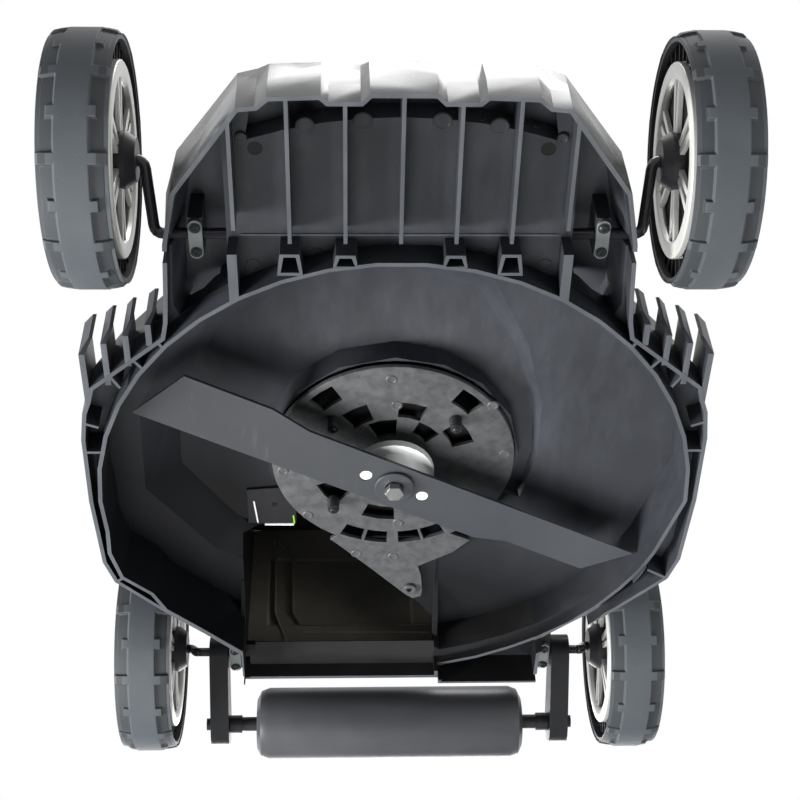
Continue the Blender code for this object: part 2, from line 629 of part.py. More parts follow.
def front_rod_way():
    """Room for the front axle rod behind the ribs, from side wall to side wall."""
    way = AXLE_RADIUS + RUN_GAP
    reach = CRANK_X + 0.0100
    return box((-reach, FRONT_PIVOT_Y - way, PIVOT_Z - way), (reach, FRONT_PIVOT_Y + way, PIVOT_Z + way))


def crank_slots():
    """Slots in the side walls, open at the rim, that let the front rod in from below."""
    way = AXLE_RADIUS + RUN_GAP + 0.0002
    bm = bmesh.new()
    for side in (-1, 1):
        xs = sorted((side * 0.1730, side * (CRANK_X + 0.0100)))
        box((xs[0], FRONT_PIVOT_Y - way, GROUND_TO_RIM - 0.01), (xs[1], FRONT_PIVOT_Y + way, PIVOT_Z), bm)
    return bm


def rear_rod_way():
    """The space behind the sloping sill that the rear axle rod crosses."""
    bend = SILL_BEND_Z + 0.0034
    profile = [(DECK_REAR + 0.0100, bend), (DECK_REAR - WALL, bend), (SILL_Y + 0.0057, SILL_NOSE_Z + 0.0004),
               (SILL_Y + 0.0127, ROD_ROOF), (DECK_REAR + 0.0100, ROD_ROOF)]
    return along_x(profile, -0.1375, TUNNEL_RIGHT + WALL + 0.0015)


def open_rod_gap():
    """Beside the sill the rear axle rod lies open from below, in front of the deck's rear wall."""
    return box((TUNNEL_RIGHT + WALL, REAR_PIVOT_Y - 0.0056, GROUND_TO_RIM - 0.0060),
               (0.1375, REAR_PIVOT_Y + AXLE_RADIUS + RUN_GAP, ROD_ROOF - 0.0002))


def rear_rod_slots():
    """Slots through the rear side walls and lugs, open at the rim, that let the rear rod in from below."""
    way = AXLE_RADIUS + RUN_GAP
    bm = bmesh.new()
    for side in (-1, 1):
        xs = sorted((side * 0.1365, side * 0.1600))
        box((xs[0], REAR_PIVOT_Y - way, GROUND_TO_RIM - 0.01), (xs[1], REAR_PIVOT_Y + way, REAR_PIVOT_Z + way), bm)
    return bm


def swept(points, radius, steps=12, into=None):
    """A round bar along a path, with closed ends."""
    path = [Vector(point) for point in points]
    sections = []
    side = None
    for i, at in enumerate(path):
        before = path[max(i - 1, 0)]
        after = path[min(i + 1, len(path) - 1)]
        ahead = (after - before).normalized()
        if side is None:
            side = ahead.orthogonal().normalized()
        side = (side - ahead * side.dot(ahead)).normalized()
        up = ahead.cross(side)
        ring = []
        for k in range(steps):
            angle = 2 * pi * (k + 0.5) / steps
            ring.append(at + (side * cos(angle) + up * sin(angle)) * radius)
        sections.append(ring)
    return sections_to_solid(sections, into)


# Wheels
WHEELS = {"front_left": (1, 0.0), "front_right": (-1, 0.0),
          "rear_left": (1, WHEELBASE), "rear_right": (-1, WHEELBASE)}
HUB_INNER = 0.0080
HUB_OUTER = 0.0430
WEB_NEAR = 0.0200
WEB_FAR = 0.0240
RIM_INNER_RADIUS = 0.0915
SPOKES = 6
AXLE_END = 0.0360


def from_inner_face(side, profile):
    """A profile written outwards from a wheel's inner face, for the left or the right side."""
    return [(side * (WHEEL_INNER_X + along), radius) for along, radius in profile]


def spoke_windows(side, near, far, inner, outer, keep):
    """Six windows between spokes, as one cutter, each a ring segment with a spoke's width left beside it."""
    bm = bmesh.new()
    for i in range(SPOKES):
        middle = 360.0 * i / SPOKES
        half_in = 180.0 / SPOKES - degrees(keep / 2 / inner)
        half_out = 180.0 / SPOKES - degrees(keep / 2 / outer)
        outline = arc((0.0, 0.0), inner, middle - half_in, middle + half_in, 3)
        outline += arc((0.0, 0.0), outer, middle + half_out, middle - half_out, 5)
        xs = (side * (WHEEL_INNER_X + near), side * (WHEEL_INNER_X + far))
        sections_to_solid([[(x, y, z) for y, z in outline] for x in xs], bm)
    return bm


def wheel(where):
    """Tyre, plastic wheel, silver spoked trim and hub cap on one axle end."""
    side, axle_y = WHEELS[where]
    centre = (0.0, axle_y, WHEEL_RADIUS)
    origin = (side * WHEEL_MID_X, axle_y, WHEEL_RADIUS)
    w = TYRE_WIDTH
    tread = [(0.0015, RIM_RADIUS), (0.0, RIM_RADIUS + 0.0005), (0.0, WHEEL_RADIUS - 0.0030),
             (0.0020, WHEEL_RADIUS - 0.0010), (0.0080, WHEEL_RADIUS), (w - 0.0080, WHEEL_RADIUS),
             (w - 0.0020, WHEEL_RADIUS - 0.0010), (w, WHEEL_RADIUS - 0.0030), (w, RIM_RADIUS + 0.0005),
             (w - 0.0015, RIM_RADIUS)]
    piece(f"tyre_{where}", turned(from_inner_face(side, tread), centre, "X", 36), RUBBER, origin)
    bore = AXLE_RADIUS + RUN_GAP / 2
    rim = RIM_RADIUS - SEAT_GAP
    body = [(-HUB_INNER, bore), (-HUB_INNER, HUB_RADIUS * 0.75), (0.0, HUB_RADIUS), (WEB_NEAR, HUB_RADIUS),
            (WEB_NEAR, RIM_INNER_RADIUS), (0.0015, RIM_INNER_RADIUS), (0.0015, rim), (w - 0.0015, rim),
            (w - 0.0015, RIM_INNER_RADIUS), (WEB_FAR, RIM_INNER_RADIUS), (WEB_FAR, HUB_RADIUS),
            (HUB_OUTER, HUB_RADIUS), (HUB_OUTER, 0.0), (HUB_OUTER - 0.0040, 0.0), (HUB_OUTER - 0.0040, bore)]
    made = piece(f"wheel_{where}", turned(from_inner_face(side, body), centre, "X", 36), BLACK_PLASTIC, origin)
    cut = spoke_windows(side, WEB_NEAR - 0.001, WEB_FAR + 0.001, 0.0330, 0.0640, 0.0120)
    bmesh.ops.translate(cut, verts=cut.verts, vec=centre)
    combine(made, helper(f"windows_{where}", cut))
    disc = [(0.0130, HUB_RADIUS + SEAT_GAP), (WEB_NEAR - SEAT_GAP, HUB_RADIUS + SEAT_GAP),
            (WEB_NEAR - SEAT_GAP, TRIM_RADIUS), (0.0080, TRIM_RADIUS), (0.0130, TRIM_RADIUS - 0.0080)]
    trim = piece(f"trim_{where}", turned(from_inner_face(side, disc), centre, "X", 36), SILVER, origin)
    cut = spoke_windows(side, 0.0060, WEB_NEAR, 0.0300, 0.0620, 0.0100)
    bmesh.ops.translate(cut, verts=cut.verts, vec=centre)
    combine(trim, helper(f"trim_windows_{where}", cut))
    near = HUB_OUTER + SEAT_GAP
    cap = [(near, 0.0), (near, HUB_RADIUS - 0.0010), (near + 0.0025, HUB_RADIUS - 0.0010),
           (near + 0.0055, HUB_RADIUS - 0.0060), (near + 0.0055, 0.0)]
    piece(f"hub_cap_{where}", turned(from_inner_face(side, cap), centre, "X", 24), SILVER, origin)


# Axle rods
CRANK_OUT_X = 0.1975
CRANK_IN_X = 0.1900


def axle_rod(name, pivot, axle_y):
    """A rod across the deck with a crank and a wheel stub at each end, turning about its middle."""
    end_x = WHEEL_INNER_X + AXLE_END
    corners = [(-end_x, axle_y, WHEEL_RADIUS), (-CRANK_OUT_X, axle_y, WHEEL_RADIUS),
               (-CRANK_IN_X, *pivot), (CRANK_IN_X, *pivot),
               (CRANK_OUT_X, axle_y, WHEEL_RADIUS), (end_x, axle_y, WHEEL_RADIUS)]
    path = rounded_path(corners, 0.0080, 4)
    piece(name, swept(path, AXLE_RADIUS), ROD_STEEL, (0.0, *pivot), 50)


def axle_clamp(name, x, pivot):
    """The flat plate screwed under an axle rod, with round ends."""
    half = CLAMP_LENGTH / 2 - CLAMP_WIDTH / 2
    pivot_y, pivot_z = pivot
    top = pivot_z - AXLE_RADIUS - 2 * SEAT_GAP
    outline = arc((x, pivot_y - half), CLAMP_WIDTH / 2, 180.0, 360.0, 6)
    outline += arc((x, pivot_y + half), CLAMP_WIDTH / 2, 0.0, 180.0, 6)
    piece(name, prism(outline, top - CLAMP_THICK, top), BRIGHT_STEEL, (x, pivot_y, top))


# Roller
def roller_group():
    """Two arms that hang on the rear axle rod, the shaft between their ends and the roller on it."""
    pivot = (0.0, *REAR_PIVOT)
    for name, side in (("left", 1), ("right", -1)):
        xs = sorted((side * (ARM_X - ARM_THICK / 2), side * (ARM_X + ARM_THICK / 2)))
        start, end = Vector(REAR_PIVOT), Vector((ROLLER_Y, ROLLER_RADIUS))
        lean = degrees(atan2(end.y - start.y, end.x - start.x))
        outline = arc(tuple(start), 0.0150, lean + 90.0, lean + 270.0, 8)
        outline += arc(tuple(end), 0.0200, lean - 90.0, lean + 90.0, 8)
        made = piece(f"roller_arm_{name}", along_x(outline, *xs), DECK_PLASTIC, pivot)
        eye = turned([(xs[0] - 0.01, 0.0), (xs[0] - 0.01, AXLE_RADIUS + RUN_GAP),
                      (xs[1] + 0.01, AXLE_RADIUS + RUN_GAP), (xs[1] + 0.01, 0.0)], pivot, "X", 16)
        combine(made, helper(f"arm_eye_{name}", eye, pivot))
        seat = turned([(xs[0] - 0.01, 0.0), (xs[0] - 0.01, ROLLER_SHAFT_RADIUS + SEAT_GAP),
                       (xs[1] + 0.01, ROLLER_SHAFT_RADIUS + SEAT_GAP), (xs[1] + 0.01, 0.0)],
                      (0.0, ROLLER_Y, ROLLER_RADIUS), "X", 16)
        combine(made, helper(f"arm_seat_{name}", seat, pivot))
    axis = (0.0, ROLLER_Y, ROLLER_RADIUS)
    outer = ARM_X + ARM_THICK / 2
    inner = ARM_X - ARM_THICK / 2
    half = [(0.0, ROLLER_SHAFT_RADIUS), (inner - 0.0120, ROLLER_SHAFT_RADIUS), (inner - 0.0120, 0.0088),
            (inner - SEAT_GAP, 0.0088), (inner - SEAT_GAP, ROLLER_SHAFT_RADIUS), (outer + SEAT_GAP, ROLLER_SHAFT_RADIUS),
            (outer + SEAT_GAP, 0.0060), (outer + 0.0050, 0.0060), (outer + 0.0050, 0.0)]
    shaft = [(-x, r) for x, r in reversed(half[1:])] + half[1:]
    piece("roller_shaft", turned(shaft, axis, "X", 16), BLACK_PLASTIC, pivot)
    bore = ROLLER_SHAFT_RADIUS + RUN_GAP / 2
    shell = [(0.0, ROLLER_RADIUS), (ROLLER_HALF - 0.0120, ROLLER_RADIUS), (ROLLER_HALF - 0.0040, ROLLER_RADIUS - 0.0030),
             (ROLLER_HALF, ROLLER_RADIUS - 0.0110), (ROLLER_HALF, bore)]
    barrel = [(-x, r) for x, r in reversed(shell[1:])] + shell[1:]
    piece("roller", turned(barrel, axis, "X", 32), BLACK_PLASTIC, axis)


# Blade and motor
MOTOR_BASE = 0.1010
SPACER_RADIUS = 0.0360
BOLT_RADIUS = 0.0085
BLADE_RISE = 0.0105
VENT_RINGS = [(0.0420, 0.0075, 3, 20.0, 75.0), (0.0620, 0.0090, 6, 14.0, 15.0), (0.0960, 0.0080, 12, 9.0, 8.0)]


def motor_axis_piece(name, profile, finish, steps=28):
    return piece(name, turned(profile, (*MOTOR_AXIS, 0.0), "Z", steps), finish, (*MOTOR_AXIS, BLADE_Z))


def blade():
    """Flat bar blade: cutting edges on the leading half of each end, trailing halves raised as wings."""
    half = BLADE_WIDTH / 2
    tip = sqrt(BLADE_RADIUS ** 2 - half ** 2)
    bm = bmesh.new()
    sections = []
    for along in (-tip, -0.1300, -0.0950, 0.0950, 0.1300, tip):
        lift = BLADE_RISE if abs(along) > 0.1 else 0.0
        edge = BLADE_THICK - 0.0008 if abs(along) > 0.1 else 0.0
        raised = (0.0, lift) if along > 0.0 else (lift, 0.0)
        thin = (edge, 0.0) if along > 0.0 else (0.0, edge)
        pulled = (0.0, 0.0260) if along > 0.15 else (-0.0260, 0.0) if along < -0.15 else (0.0, 0.0)
        sections.append([(along - pulled[0], -half, BLADE_Z + raised[0]),
                         (along - pulled[1], half, BLADE_Z + raised[1]),
                         (along - pulled[1], half, BLADE_Z + raised[1] + BLADE_THICK - thin[1]),
                         (along - pulled[0], -half, BLADE_Z + raised[0] + BLADE_THICK - thin[0])])
    sections_to_solid(sections, bm)
    bmesh.ops.rotate(bm, verts=bm.verts, cent=(0, 0, 0), matrix=Matrix.Rotation(BLADE_ANGLE, 3, "Z"))
    bmesh.ops.translate(bm, verts=bm.verts, vec=(*MOTOR_AXIS, 0.0))
    made = piece("blade", bm, BLADE_STEEL, (*MOTOR_AXIS, BLADE_Z))
    holes = bmesh.new()
    for along, radius in ((0.0, SHAFT_RADIUS * 0.6 + SEAT_GAP), (0.0280, 0.0060), (-0.0280, 0.0060)):
        at = (MOTOR_AXIS[0] + along * cos(BLADE_ANGLE), MOTOR_AXIS[1] + along * sin(BLADE_ANGLE))
        prism(circle(at, radius, 16), BLADE_Z - 0.01, BLADE_Z + 0.02, holes)
    combine(made, helper("blade_holes", holes, (*MOTOR_AXIS, BLADE_Z)))


def rotor_group():
    """Everything that spins: shaft, rotor, spacer disc, blade, washer and bolt."""
    top_of_blade = BLADE_Z + BLADE_THICK
    neck = SHAFT_RADIUS * 0.6
    motor_axis_piece("motor_shaft", [(top_of_blade - 0.0005, 0.0), (top_of_blade - 0.0005, neck),
                                     (top_of_blade + SEAT_GAP, neck), (top_of_blade + SEAT_GAP, SHAFT_RADIUS),
                                     (MOTOR_TOP - 0.0100, SHAFT_RADIUS), (MOTOR_TOP - 0.0100, 0.0)], BRIGHT_STEEL, 20)
    motor_axis_piece("rotor_core", [(MOTOR_BASE + 0.0230, SHAFT_RADIUS + SEAT_GAP), (MOTOR_BASE + 0.0230, 0.0450),
                                    (MOTOR_TOP - 0.0300, 0.0450), (MOTOR_TOP - 0.0300, SHAFT_RADIUS + SEAT_GAP)],
                     BRIGHT_STEEL, 24)
    motor_axis_piece("spacer_disc", [(top_of_blade + 2 * SEAT_GAP, SHAFT_RADIUS + SEAT_GAP),
                                     (top_of_blade + 2 * SEAT_GAP, 0.0200), (0.0700, 0.0260), (0.0700, SPACER_RADIUS),
                                     (0.0770, SPACER_RADIUS), (0.0800, SPACER_RADIUS - 0.0060),
                                     (0.0800, SHAFT_RADIUS + SEAT_GAP)], WHITE_PLASTIC, 32)
    washer_top = BLADE_Z - SEAT_GAP
    motor_axis_piece("blade_washer", [(washer_top - 0.0030, neck + SEAT_GAP), (washer_top - 0.0030, 0.0125),
                                      (washer_top - 0.0010, 0.0165), (washer_top, 0.0165),
                                      (washer_top, neck + SEAT_GAP)], BRIGHT_STEEL, 24)
    head_top = washer_top - 0.0030 - SEAT_GAP
    hexagon = circle(MOTOR_AXIS, BOLT_RADIUS, 6)
    bolt = piece("blade_bolt", prism(hexagon, head_top - 0.0070, head_top), BRIGHT_STEEL, (*MOTOR_AXIS, BLADE_Z))
    stem = turned([(head_top - 0.002, 0.0), (head_top - 0.002, neck - 0.0002),
                   (top_of_blade - 0.0005 - SEAT_GAP, neck - 0.0002), (top_of_blade - 0.0005 - SEAT_GAP, 0.0)],
                  (*MOTOR_AXIS, 0.0), "Z", 16)
    combine(bolt, helper("bolt_stem", stem, (*MOTOR_AXIS, BLADE_Z)), "UNION")
    blade()


def motor_plate():
    """The vented disc under the motor: three rings of vents, four pillars and a bearing seat."""
    radius = PLATE_RADIUS
    rim_top = CEILING_Z + WALL
    profile = [(PLATE_Z, 0.0), (PLATE_Z, radius - 0.0030), (PLATE_Z + 0.0030, radius), (rim_top, radius),
               (rim_top, radius - 0.0030), (PLATE_Z + PLATE_THICK, radius - 0.0030), (PLATE_Z + PLATE_THICK, 0.0170),
               (MOTOR_BASE - SEAT_GAP, 0.0170), (MOTOR_BASE - SEAT_GAP, 0.0)]
    made = piece("motor_plate", turned(profile, (*MOTOR_AXIS, 0.0), "Z", 48), DECK_PLASTIC, (*MOTOR_AXIS, PLATE_Z))
    cut = bmesh.new()
    for ring, half, count, spread, first in VENT_RINGS:
        for i in range(count):
            middle = first + 360.0 * i / count
            outline = arc(MOTOR_AXIS, ring - half, middle - spread, middle + spread, 3)
            outline += arc(MOTOR_AXIS, ring + half, middle + spread * 0.9, middle - spread * 0.9, 3)
            prism(outline, PLATE_Z - 0.004, PLATE_Z + PLATE_THICK + 0.004, cut)
    combine(made, helper("vents", cut, (*MOTOR_AXIS, PLATE_Z)))
    bore = prism(circle(MOTOR_AXIS, SHAFT_RADIUS + RUN_GAP, 20), PLATE_Z - 0.01, MOTOR_BASE + 0.01)
    combine(made, helper("plate_bore", bore, (*MOTOR_AXIS, PLATE_Z)))
    studs = bmesh.new()
    for i in range(4):
        at = polar(0.0725, 45.0 + 90.0 * i)
        prism(circle(at, 0.0060, 10), PLATE_Z - 0.0050, MOTOR_BASE - SEAT_GAP, studs)
    combine(made, helper("studs", studs, (*MOTOR_AXIS, PLATE_Z)), "UNION")


def motor():
    """Motor can over the plate, with a bearing at each end of the shaft."""
    can = [(MOTOR_BASE, SHAFT_RADIUS + 0.0110), (MOTOR_BASE, MOTOR_RADIUS), (MOTOR_TOP, MOTOR_RADIUS),
           (MOTOR_TOP + 0.0040, MOTOR_RADIUS - 0.0080), (MOTOR_TOP + 0.0040, 0.0),
           (MOTOR_TOP - 0.0020, 0.0), (MOTOR_TOP - 0.0020, 0.0185), (MOTOR_TOP - 0.0220, 0.0185),
           (MOTOR_TOP - 0.0220, MOTOR_RADIUS - 0.0160), (MOTOR_BASE + 0.0160, MOTOR_RADIUS - 0.0160),
           (MOTOR_BASE + 0.0160, SHAFT_RADIUS + 0.0110)]
    motor_axis_piece("motor_can", can, ALUMINIUM, 32)
    for name, base, outer in (("lower_bearing", MOTOR_BASE + 0.0040, SHAFT_RADIUS + 0.0110 - SEAT_GAP),
                              ("upper_bearing", MOTOR_TOP - 0.0200, 0.0185 - SEAT_GAP)):
        ring = [(base, SHAFT_RADIUS + RUN_GAP / 2), (base, outer), (base + 0.0090, outer),
                (base + 0.0090, SHAFT_RADIUS + RUN_GAP / 2)]
        motor_axis_piece(name, ring, BRIGHT_STEEL, 20)


# Rear flap
def rear_flap():
    """The flap over the tunnel's mouth, hung on a pin across the top of the opening."""
    pivot = (0.0, FLAP_Y, FLAP_TOP_Z)
    left, right = TUNNEL_LEFT - WALL - 0.0060, TUNNEL_RIGHT + WALL + 0.0060
    low = SILL_TOP + 0.0040
    near = DECK_REAR + SEAT_GAP
    profile = [(near, low), (near + FLAP_THICK, low), (near + FLAP_THICK, FLAP_TOP_Z - 0.0080),
               (FLAP_Y + 0.0060, FLAP_TOP_Z), (FLAP_Y + 0.0020, FLAP_TOP_Z + 0.0060),
               (FLAP_Y - 0.0050, FLAP_TOP_Z + 0.0050), (near, FLAP_TOP_Z - 0.0060)]
    made = piece("rear_flap", along_x(profile, left + 0.0160, right - 0.0160), FLAP_PLASTIC, pivot)
    panel = box((left, near, low), (right, near + FLAP_THICK, TUNNEL_TOP))
    combine(made, helper("flap_panel", panel, pivot), "UNION")
    middle = (left + right) / 2
    half = (right - left) / 2
    dish = sections_to_solid([[(middle + sx * (half - inset), near + depth, z) for sx, z in
                               ((-1, low + inset), (1, low + inset), (1, FLAP_DISH_TOP - inset), (-1, FLAP_DISH_TOP - inset))]
                              for inset, depth in ((0.0260, -0.001), (0.0300, FLAP_THICK * 0.5))])
    combine(made, helper("flap_dish", dish, pivot))
    eye = prism(circle((0.0, 0.0), FLAP_PIN_RADIUS + SEAT_GAP, 10), left - 0.01, right + 0.01)
    bmesh.ops.rotate(eye, verts=eye.verts, cent=(0, 0, 0), matrix=Matrix.Rotation(pi / 2, 3, "Y"))
    bmesh.ops.translate(eye, verts=eye.verts, vec=pivot)
    combine(made, helper("flap_eye", eye, pivot))
    pin = [(left + 0.0040, 0.0), (left + 0.0040, FLAP_PIN_RADIUS), (right - 0.0040, FLAP_PIN_RADIUS),
           (right - 0.0040, 0.0)]
    piece("flap_pin", turned(pin, pivot, "X", 10), BRIGHT_STEEL, pivot)


# Hood over the motor
HOOD_SECTIONS = [(FLANGE_Z + SEAT_GAP, 1.00, 0.0), (0.1550, 0.985, 0.0), (0.1850, 0.940, 0.0040),
                 (0.2200, 0.850, 0.0100), (0.2500, 0.720, 0.0160), (0.2700, 0.560, 0.0200), (HOOD_TOP, 0.360, 0.0220)]
HOOD_HALF = [(0.0, -0.0500), (0.0500, -0.0490), (0.0940, -0.0420), (0.1220, -0.0180), (0.1420, 0.0160),
             (0.1520, 0.0600), (0.1580, 0.1200), (0.1700, 0.1800), (0.1780, 0.2400), (0.1800, 0.3060),
             (0.1740, 0.3700), (0.1640, 0.4120)]
HOOD_MIDDLE = (0.0, 0.2500)


def hood_outline(scale, shift, inset):
    """The hood's outline at one level: drawn in towards its middle, its rear edge kept upright."""
    half = [(x * scale, HOOD_MIDDLE[1] + shift + (y - HOOD_MIDDLE[1]) * (scale if y < HOOD_MIDDLE[1] else
             1.0 - (1.0 - scale) * 0.45)) for x, y in HOOD_HALF]
    half.append((0.0, half[-1][1]))
    return grown(mirrored(half), -inset) if inset else mirrored(half)


def top_cover():
    """The hood: a domed shell on the deck's flange, ending in front of the discharge tunnel."""
    outer = [[(x, y, z) for x, y in hood_outline(scale, shift, 0.0)] for z, scale, shift in HOOD_SECTIONS]
    inner = [[(x, y, z - HOOD_WALL * (i == len(HOOD_SECTIONS) - 1) - (0.01 if i == 0 else 0.0))
              for x, y in hood_outline(scale, shift, HOOD_WALL)]
             for i, (z, scale, shift) in enumerate(HOOD_SECTIONS)]
    made = piece("top_cover", sections_to_solid(outer), HOOD_PLASTIC)
    combine(made, helper("hood_hollow", sections_to_solid(inner)))
    slots = bmesh.new()
    for side in (-1, 1):
        for i in range(6):
            y = 0.1700 + 0.0140 * i
            xs = sorted((side * 0.0800, side * 0.2000))
            box((xs[0], y, 0.1980), (xs[1], y + 0.0060, 0.2160), slots)
    combine(made, helper("hood_vents", slots))


def carry_handle():
    """A bow handle over the hood's crown, for lifting the mower."""
    crown = HOOD_TOP + SEAT_GAP
    path = rounded_path([(0.0, 0.1850, crown), (0.0, 0.1980, crown + 0.0330), (0.0, 0.3120, crown + 0.0330),
                         (0.0, 0.3250, crown)], 0.0120, 4)
    made = piece("carry_handle", swept(path, 0.0085, 10), BLACK_PLASTIC)
    floor = helper("handle_floor", box((-0.03, 0.15, crown - 0.03), (0.03, 0.36, crown)))
    combine(made, floor)


def hood_trim():
    """A coloured band round the hood's nose, leaning with the hood's wall."""
    sections = []
    for z in (0.1380, 0.1500):
        scale = 1.0 - 0.015 * (z - HOOD_SECTIONS[0][0]) / (HOOD_SECTIONS[1][0] - HOOD_SECTIONS[0][0])
        level, proud = (hood_outline(scale, 0.0, -offset) for offset in (SEAT_GAP, 0.0028))
        keep = [i for i, (x, y) in enumerate(level) if y < 0.0650 and abs(x) < 0.1600]
        order = sorted(keep, key=lambda i: level[i][0])
        outline = [level[i] for i in order] + [proud[i] for i in reversed(order)]
        sections.append([(x, y, z) for x, y in outline])
    piece("hood_trim", sections_to_solid(sections), GREEN_PLASTIC)


# Handle
def along_handle(x, along, off=0.0):
    """A point beside the handle: distance up the tube from its pivot, and off it towards the front."""
    normal = Vector((0.0, -sin(HANDLE_ANGLE), cos(HANDLE_ANGLE)))
    return Vector((x, 0.0, 0.0)) + HANDLE_PIVOT + LOWER_DIRECTION * along + normal * off


def cross_hole(name, along, left, right, radius, origin):
    """A cutter along X through the handle at one distance up the tube."""
    at = along_handle(0.0, along)
    return helper(name, turned([(left, 0.0), (left, radius), (right, radius), (right, 0.0)], at, "X", 12), origin)


BRACKET_THICK = 0.0090
PIN_RADIUS = 0.0040
TUBE_TAIL = 0.0180


def handle_bracket(name, side):
    """The bracket on the deck's flange that carries one side of the handle."""
    inner = HANDLE_X - TUBE_RADIUS - SEAT_GAP - BRACKET_THICK
    xs = sorted((side * inner, side * (inner + BRACKET_THICK)))
    pivot = (HANDLE_PIVOT_Y, HANDLE_PIVOT_Z)
    foot = FLANGE_Z + SEAT_GAP
    outline = [(0.4160, foot), (0.4560, foot), (HANDLE_PIVOT_Y + 0.0160, HANDLE_PIVOT_Z - 0.0080)]
    outline += arc(pivot, 0.0160, 0.0, 150.0, 7)
    made = piece(name, along_x(outline, *xs), BLACK_PLASTIC, (side * inner, *pivot))
    xs = sorted((side * (inner - 0.0190), side * (inner + BRACKET_THICK - LAP)))
    made_foot = box((xs[0], 0.4200, foot), (xs[1], 0.4540, foot + 0.0060))
    combine(made, helper(f"{name}_foot", made_foot, (side * inner, *pivot)), "UNION")
    hole = cross_hole(f"{name}_hole", 0.0, side * (inner - 0.01), side * HANDLE_X, PIN_RADIUS + SEAT_GAP,
                      (side * inner, *pivot))
    combine(made, hole)


def pin_with_head(name, x_from, x_to, along, origin):
    """A bolt along X: its head at x_from, its end at x_to."""
    way = 1.0 if x_to > x_from else -1.0
    profile = [(x_from - way * 0.0040, 0.0), (x_from - way * 0.0040, 0.0075), (x_from, 0.0075), (x_from, PIN_RADIUS),
               (x_to, PIN_RADIUS), (x_to, 0.0)]
    piece(name, turned(profile, along_handle(0.0, along), "X", 12), BRIGHT_STEEL, origin)


def clamp_lever(name, x, side, along, origin):
    """A cam lever on the outer side of the handle: its eye holds the bolt, its tongue lies up the tube."""
    normal = Vector((0.0, -sin(HANDLE_ANGLE), cos(HANDLE_ANGLE)))
    near, far = x, x + side * 0.0085
    at = along_handle(0.0, along)
    outline = []
    for a, b in arc((0.0, 0.0), 0.0110, 110.0, 250.0, 6) + [(0.0450, -0.0065), (0.0500, 0.0), (0.0450, 0.0065)]:
        point = at + LOWER_DIRECTION * a + normal * b
        outline.append((point.y, point.z))
    made = piece(name, along_x(outline, *sorted((near, far))), BLACK_PLASTIC, origin)
    seat = turned([(near - side * 0.002, 0.0), (near - side * 0.002, PIN_RADIUS + SEAT_GAP),
                   (near + side * 0.0060, PIN_RADIUS + SEAT_GAP), (near + side * 0.0060, 0.0)], at, "X", 12)
    combine(made, helper(f"{name}_seat", seat, origin))


BRACE_AT = 0.4600
UPPER_TAIL = 0.0300
CROSS_BEND = 0.0500
GRIP_HALF = 0.1300


def lower_handle():
    """Two legs from the brackets to the fold, tied by a cross tube."""
    origin = tuple(HANDLE_PIVOT)
    leg = swept([along_handle(HANDLE_X, -TUBE_TAIL), along_handle(HANDLE_X, LOWER_LENGTH + TUBE_TAIL)], TUBE_RADIUS)
    made = piece("lower_handle", leg, HOOD_PLASTIC, origin, 50)
    other = swept([along_handle(-HANDLE_X, -TUBE_TAIL), along_handle(-HANDLE_X, LOWER_LENGTH + TUBE_TAIL)],
                  TUBE_RADIUS)
    brace = swept([along_handle(-HANDLE_X, BRACE_AT), along_handle(HANDLE_X, BRACE_AT)], TUBE_RADIUS * 0.7)
    combine(made, helper("other_leg", other, origin), "UNION")
    combine(made, helper("cross_brace", brace, origin), "UNION")
    for name, along in (("pivot", 0.0), ("fold", LOWER_LENGTH)):
        for side in (-1, 1):
            combine(made, cross_hole(f"{name}_bore_{side + 1}", along, side * (HANDLE_X - 0.02),
                                     side * (HANDLE_X + 0.02), PIN_RADIUS + SEAT_GAP, origin))


def upper_handle():
    """One bent tube: two legs outside the lower ones and the cross bar that is pushed."""
    origin = tuple(FOLD_POINT)
    foot = LOWER_LENGTH - UPPER_TAIL
    end = LOWER_LENGTH + UPPER_LENGTH
    corners = [along_handle(-UPPER_X, foot), along_handle(-UPPER_X, end), along_handle(UPPER_X, end),
               along_handle(UPPER_X, foot)]
    made = piece("upper_handle", swept(rounded_path(corners, CROSS_BEND, 6), TUBE_RADIUS), HOOD_PLASTIC, origin, 50)
    for side in (-1, 1):
        combine(made, cross_hole(f"upper_bore_{side + 1}", LOWER_LENGTH, side * (UPPER_X - 0.02),
                                 side * (UPPER_X + 0.02), PIN_RADIUS + SEAT_GAP, origin))
    combine(made, cross_hole("bail_seat", BOX_ALONG, UPPER_X - 0.02, UPPER_X - TUBE_RADIUS + 0.0060,
                             BAIL_RADIUS + SEAT_GAP, origin))
    sleeve = [(-GRIP_HALF, TUBE_RADIUS + SEAT_GAP), (-GRIP_HALF, GRIP_RADIUS - 0.0015),
              (-GRIP_HALF + 0.0030, GRIP_RADIUS), (GRIP_HALF - 0.0030, GRIP_RADIUS),
              (GRIP_HALF, GRIP_RADIUS - 0.0015), (GRIP_HALF, TUBE_RADIUS + SEAT_GAP)]
    piece("grip", turned(sleeve, along_handle(0.0, end), "X", 20), FOAM, origin)


# Switch box and bail, on the right leg of the upper handle
BOX_LENGTH = 0.1000
BOX_AHEAD = 0.0240
BOX_HEIGHT = 0.0460
BOX_DEEP = 0.0380
BAIL_BACK = 0.0780
BAIL_RADIUS = 0.0035
BAIL_ANGLE = radians(84.0)
BUTTON_RADIUS = 0.0085
BUTTON_TRAVEL = 0.0060
BOX_ALONG = LOWER_LENGTH + UPPER_LENGTH - BAIL_BACK
BOX_X = -(UPPER_X - TUBE_RADIUS - SEAT_GAP - BOX_DEEP / 2)


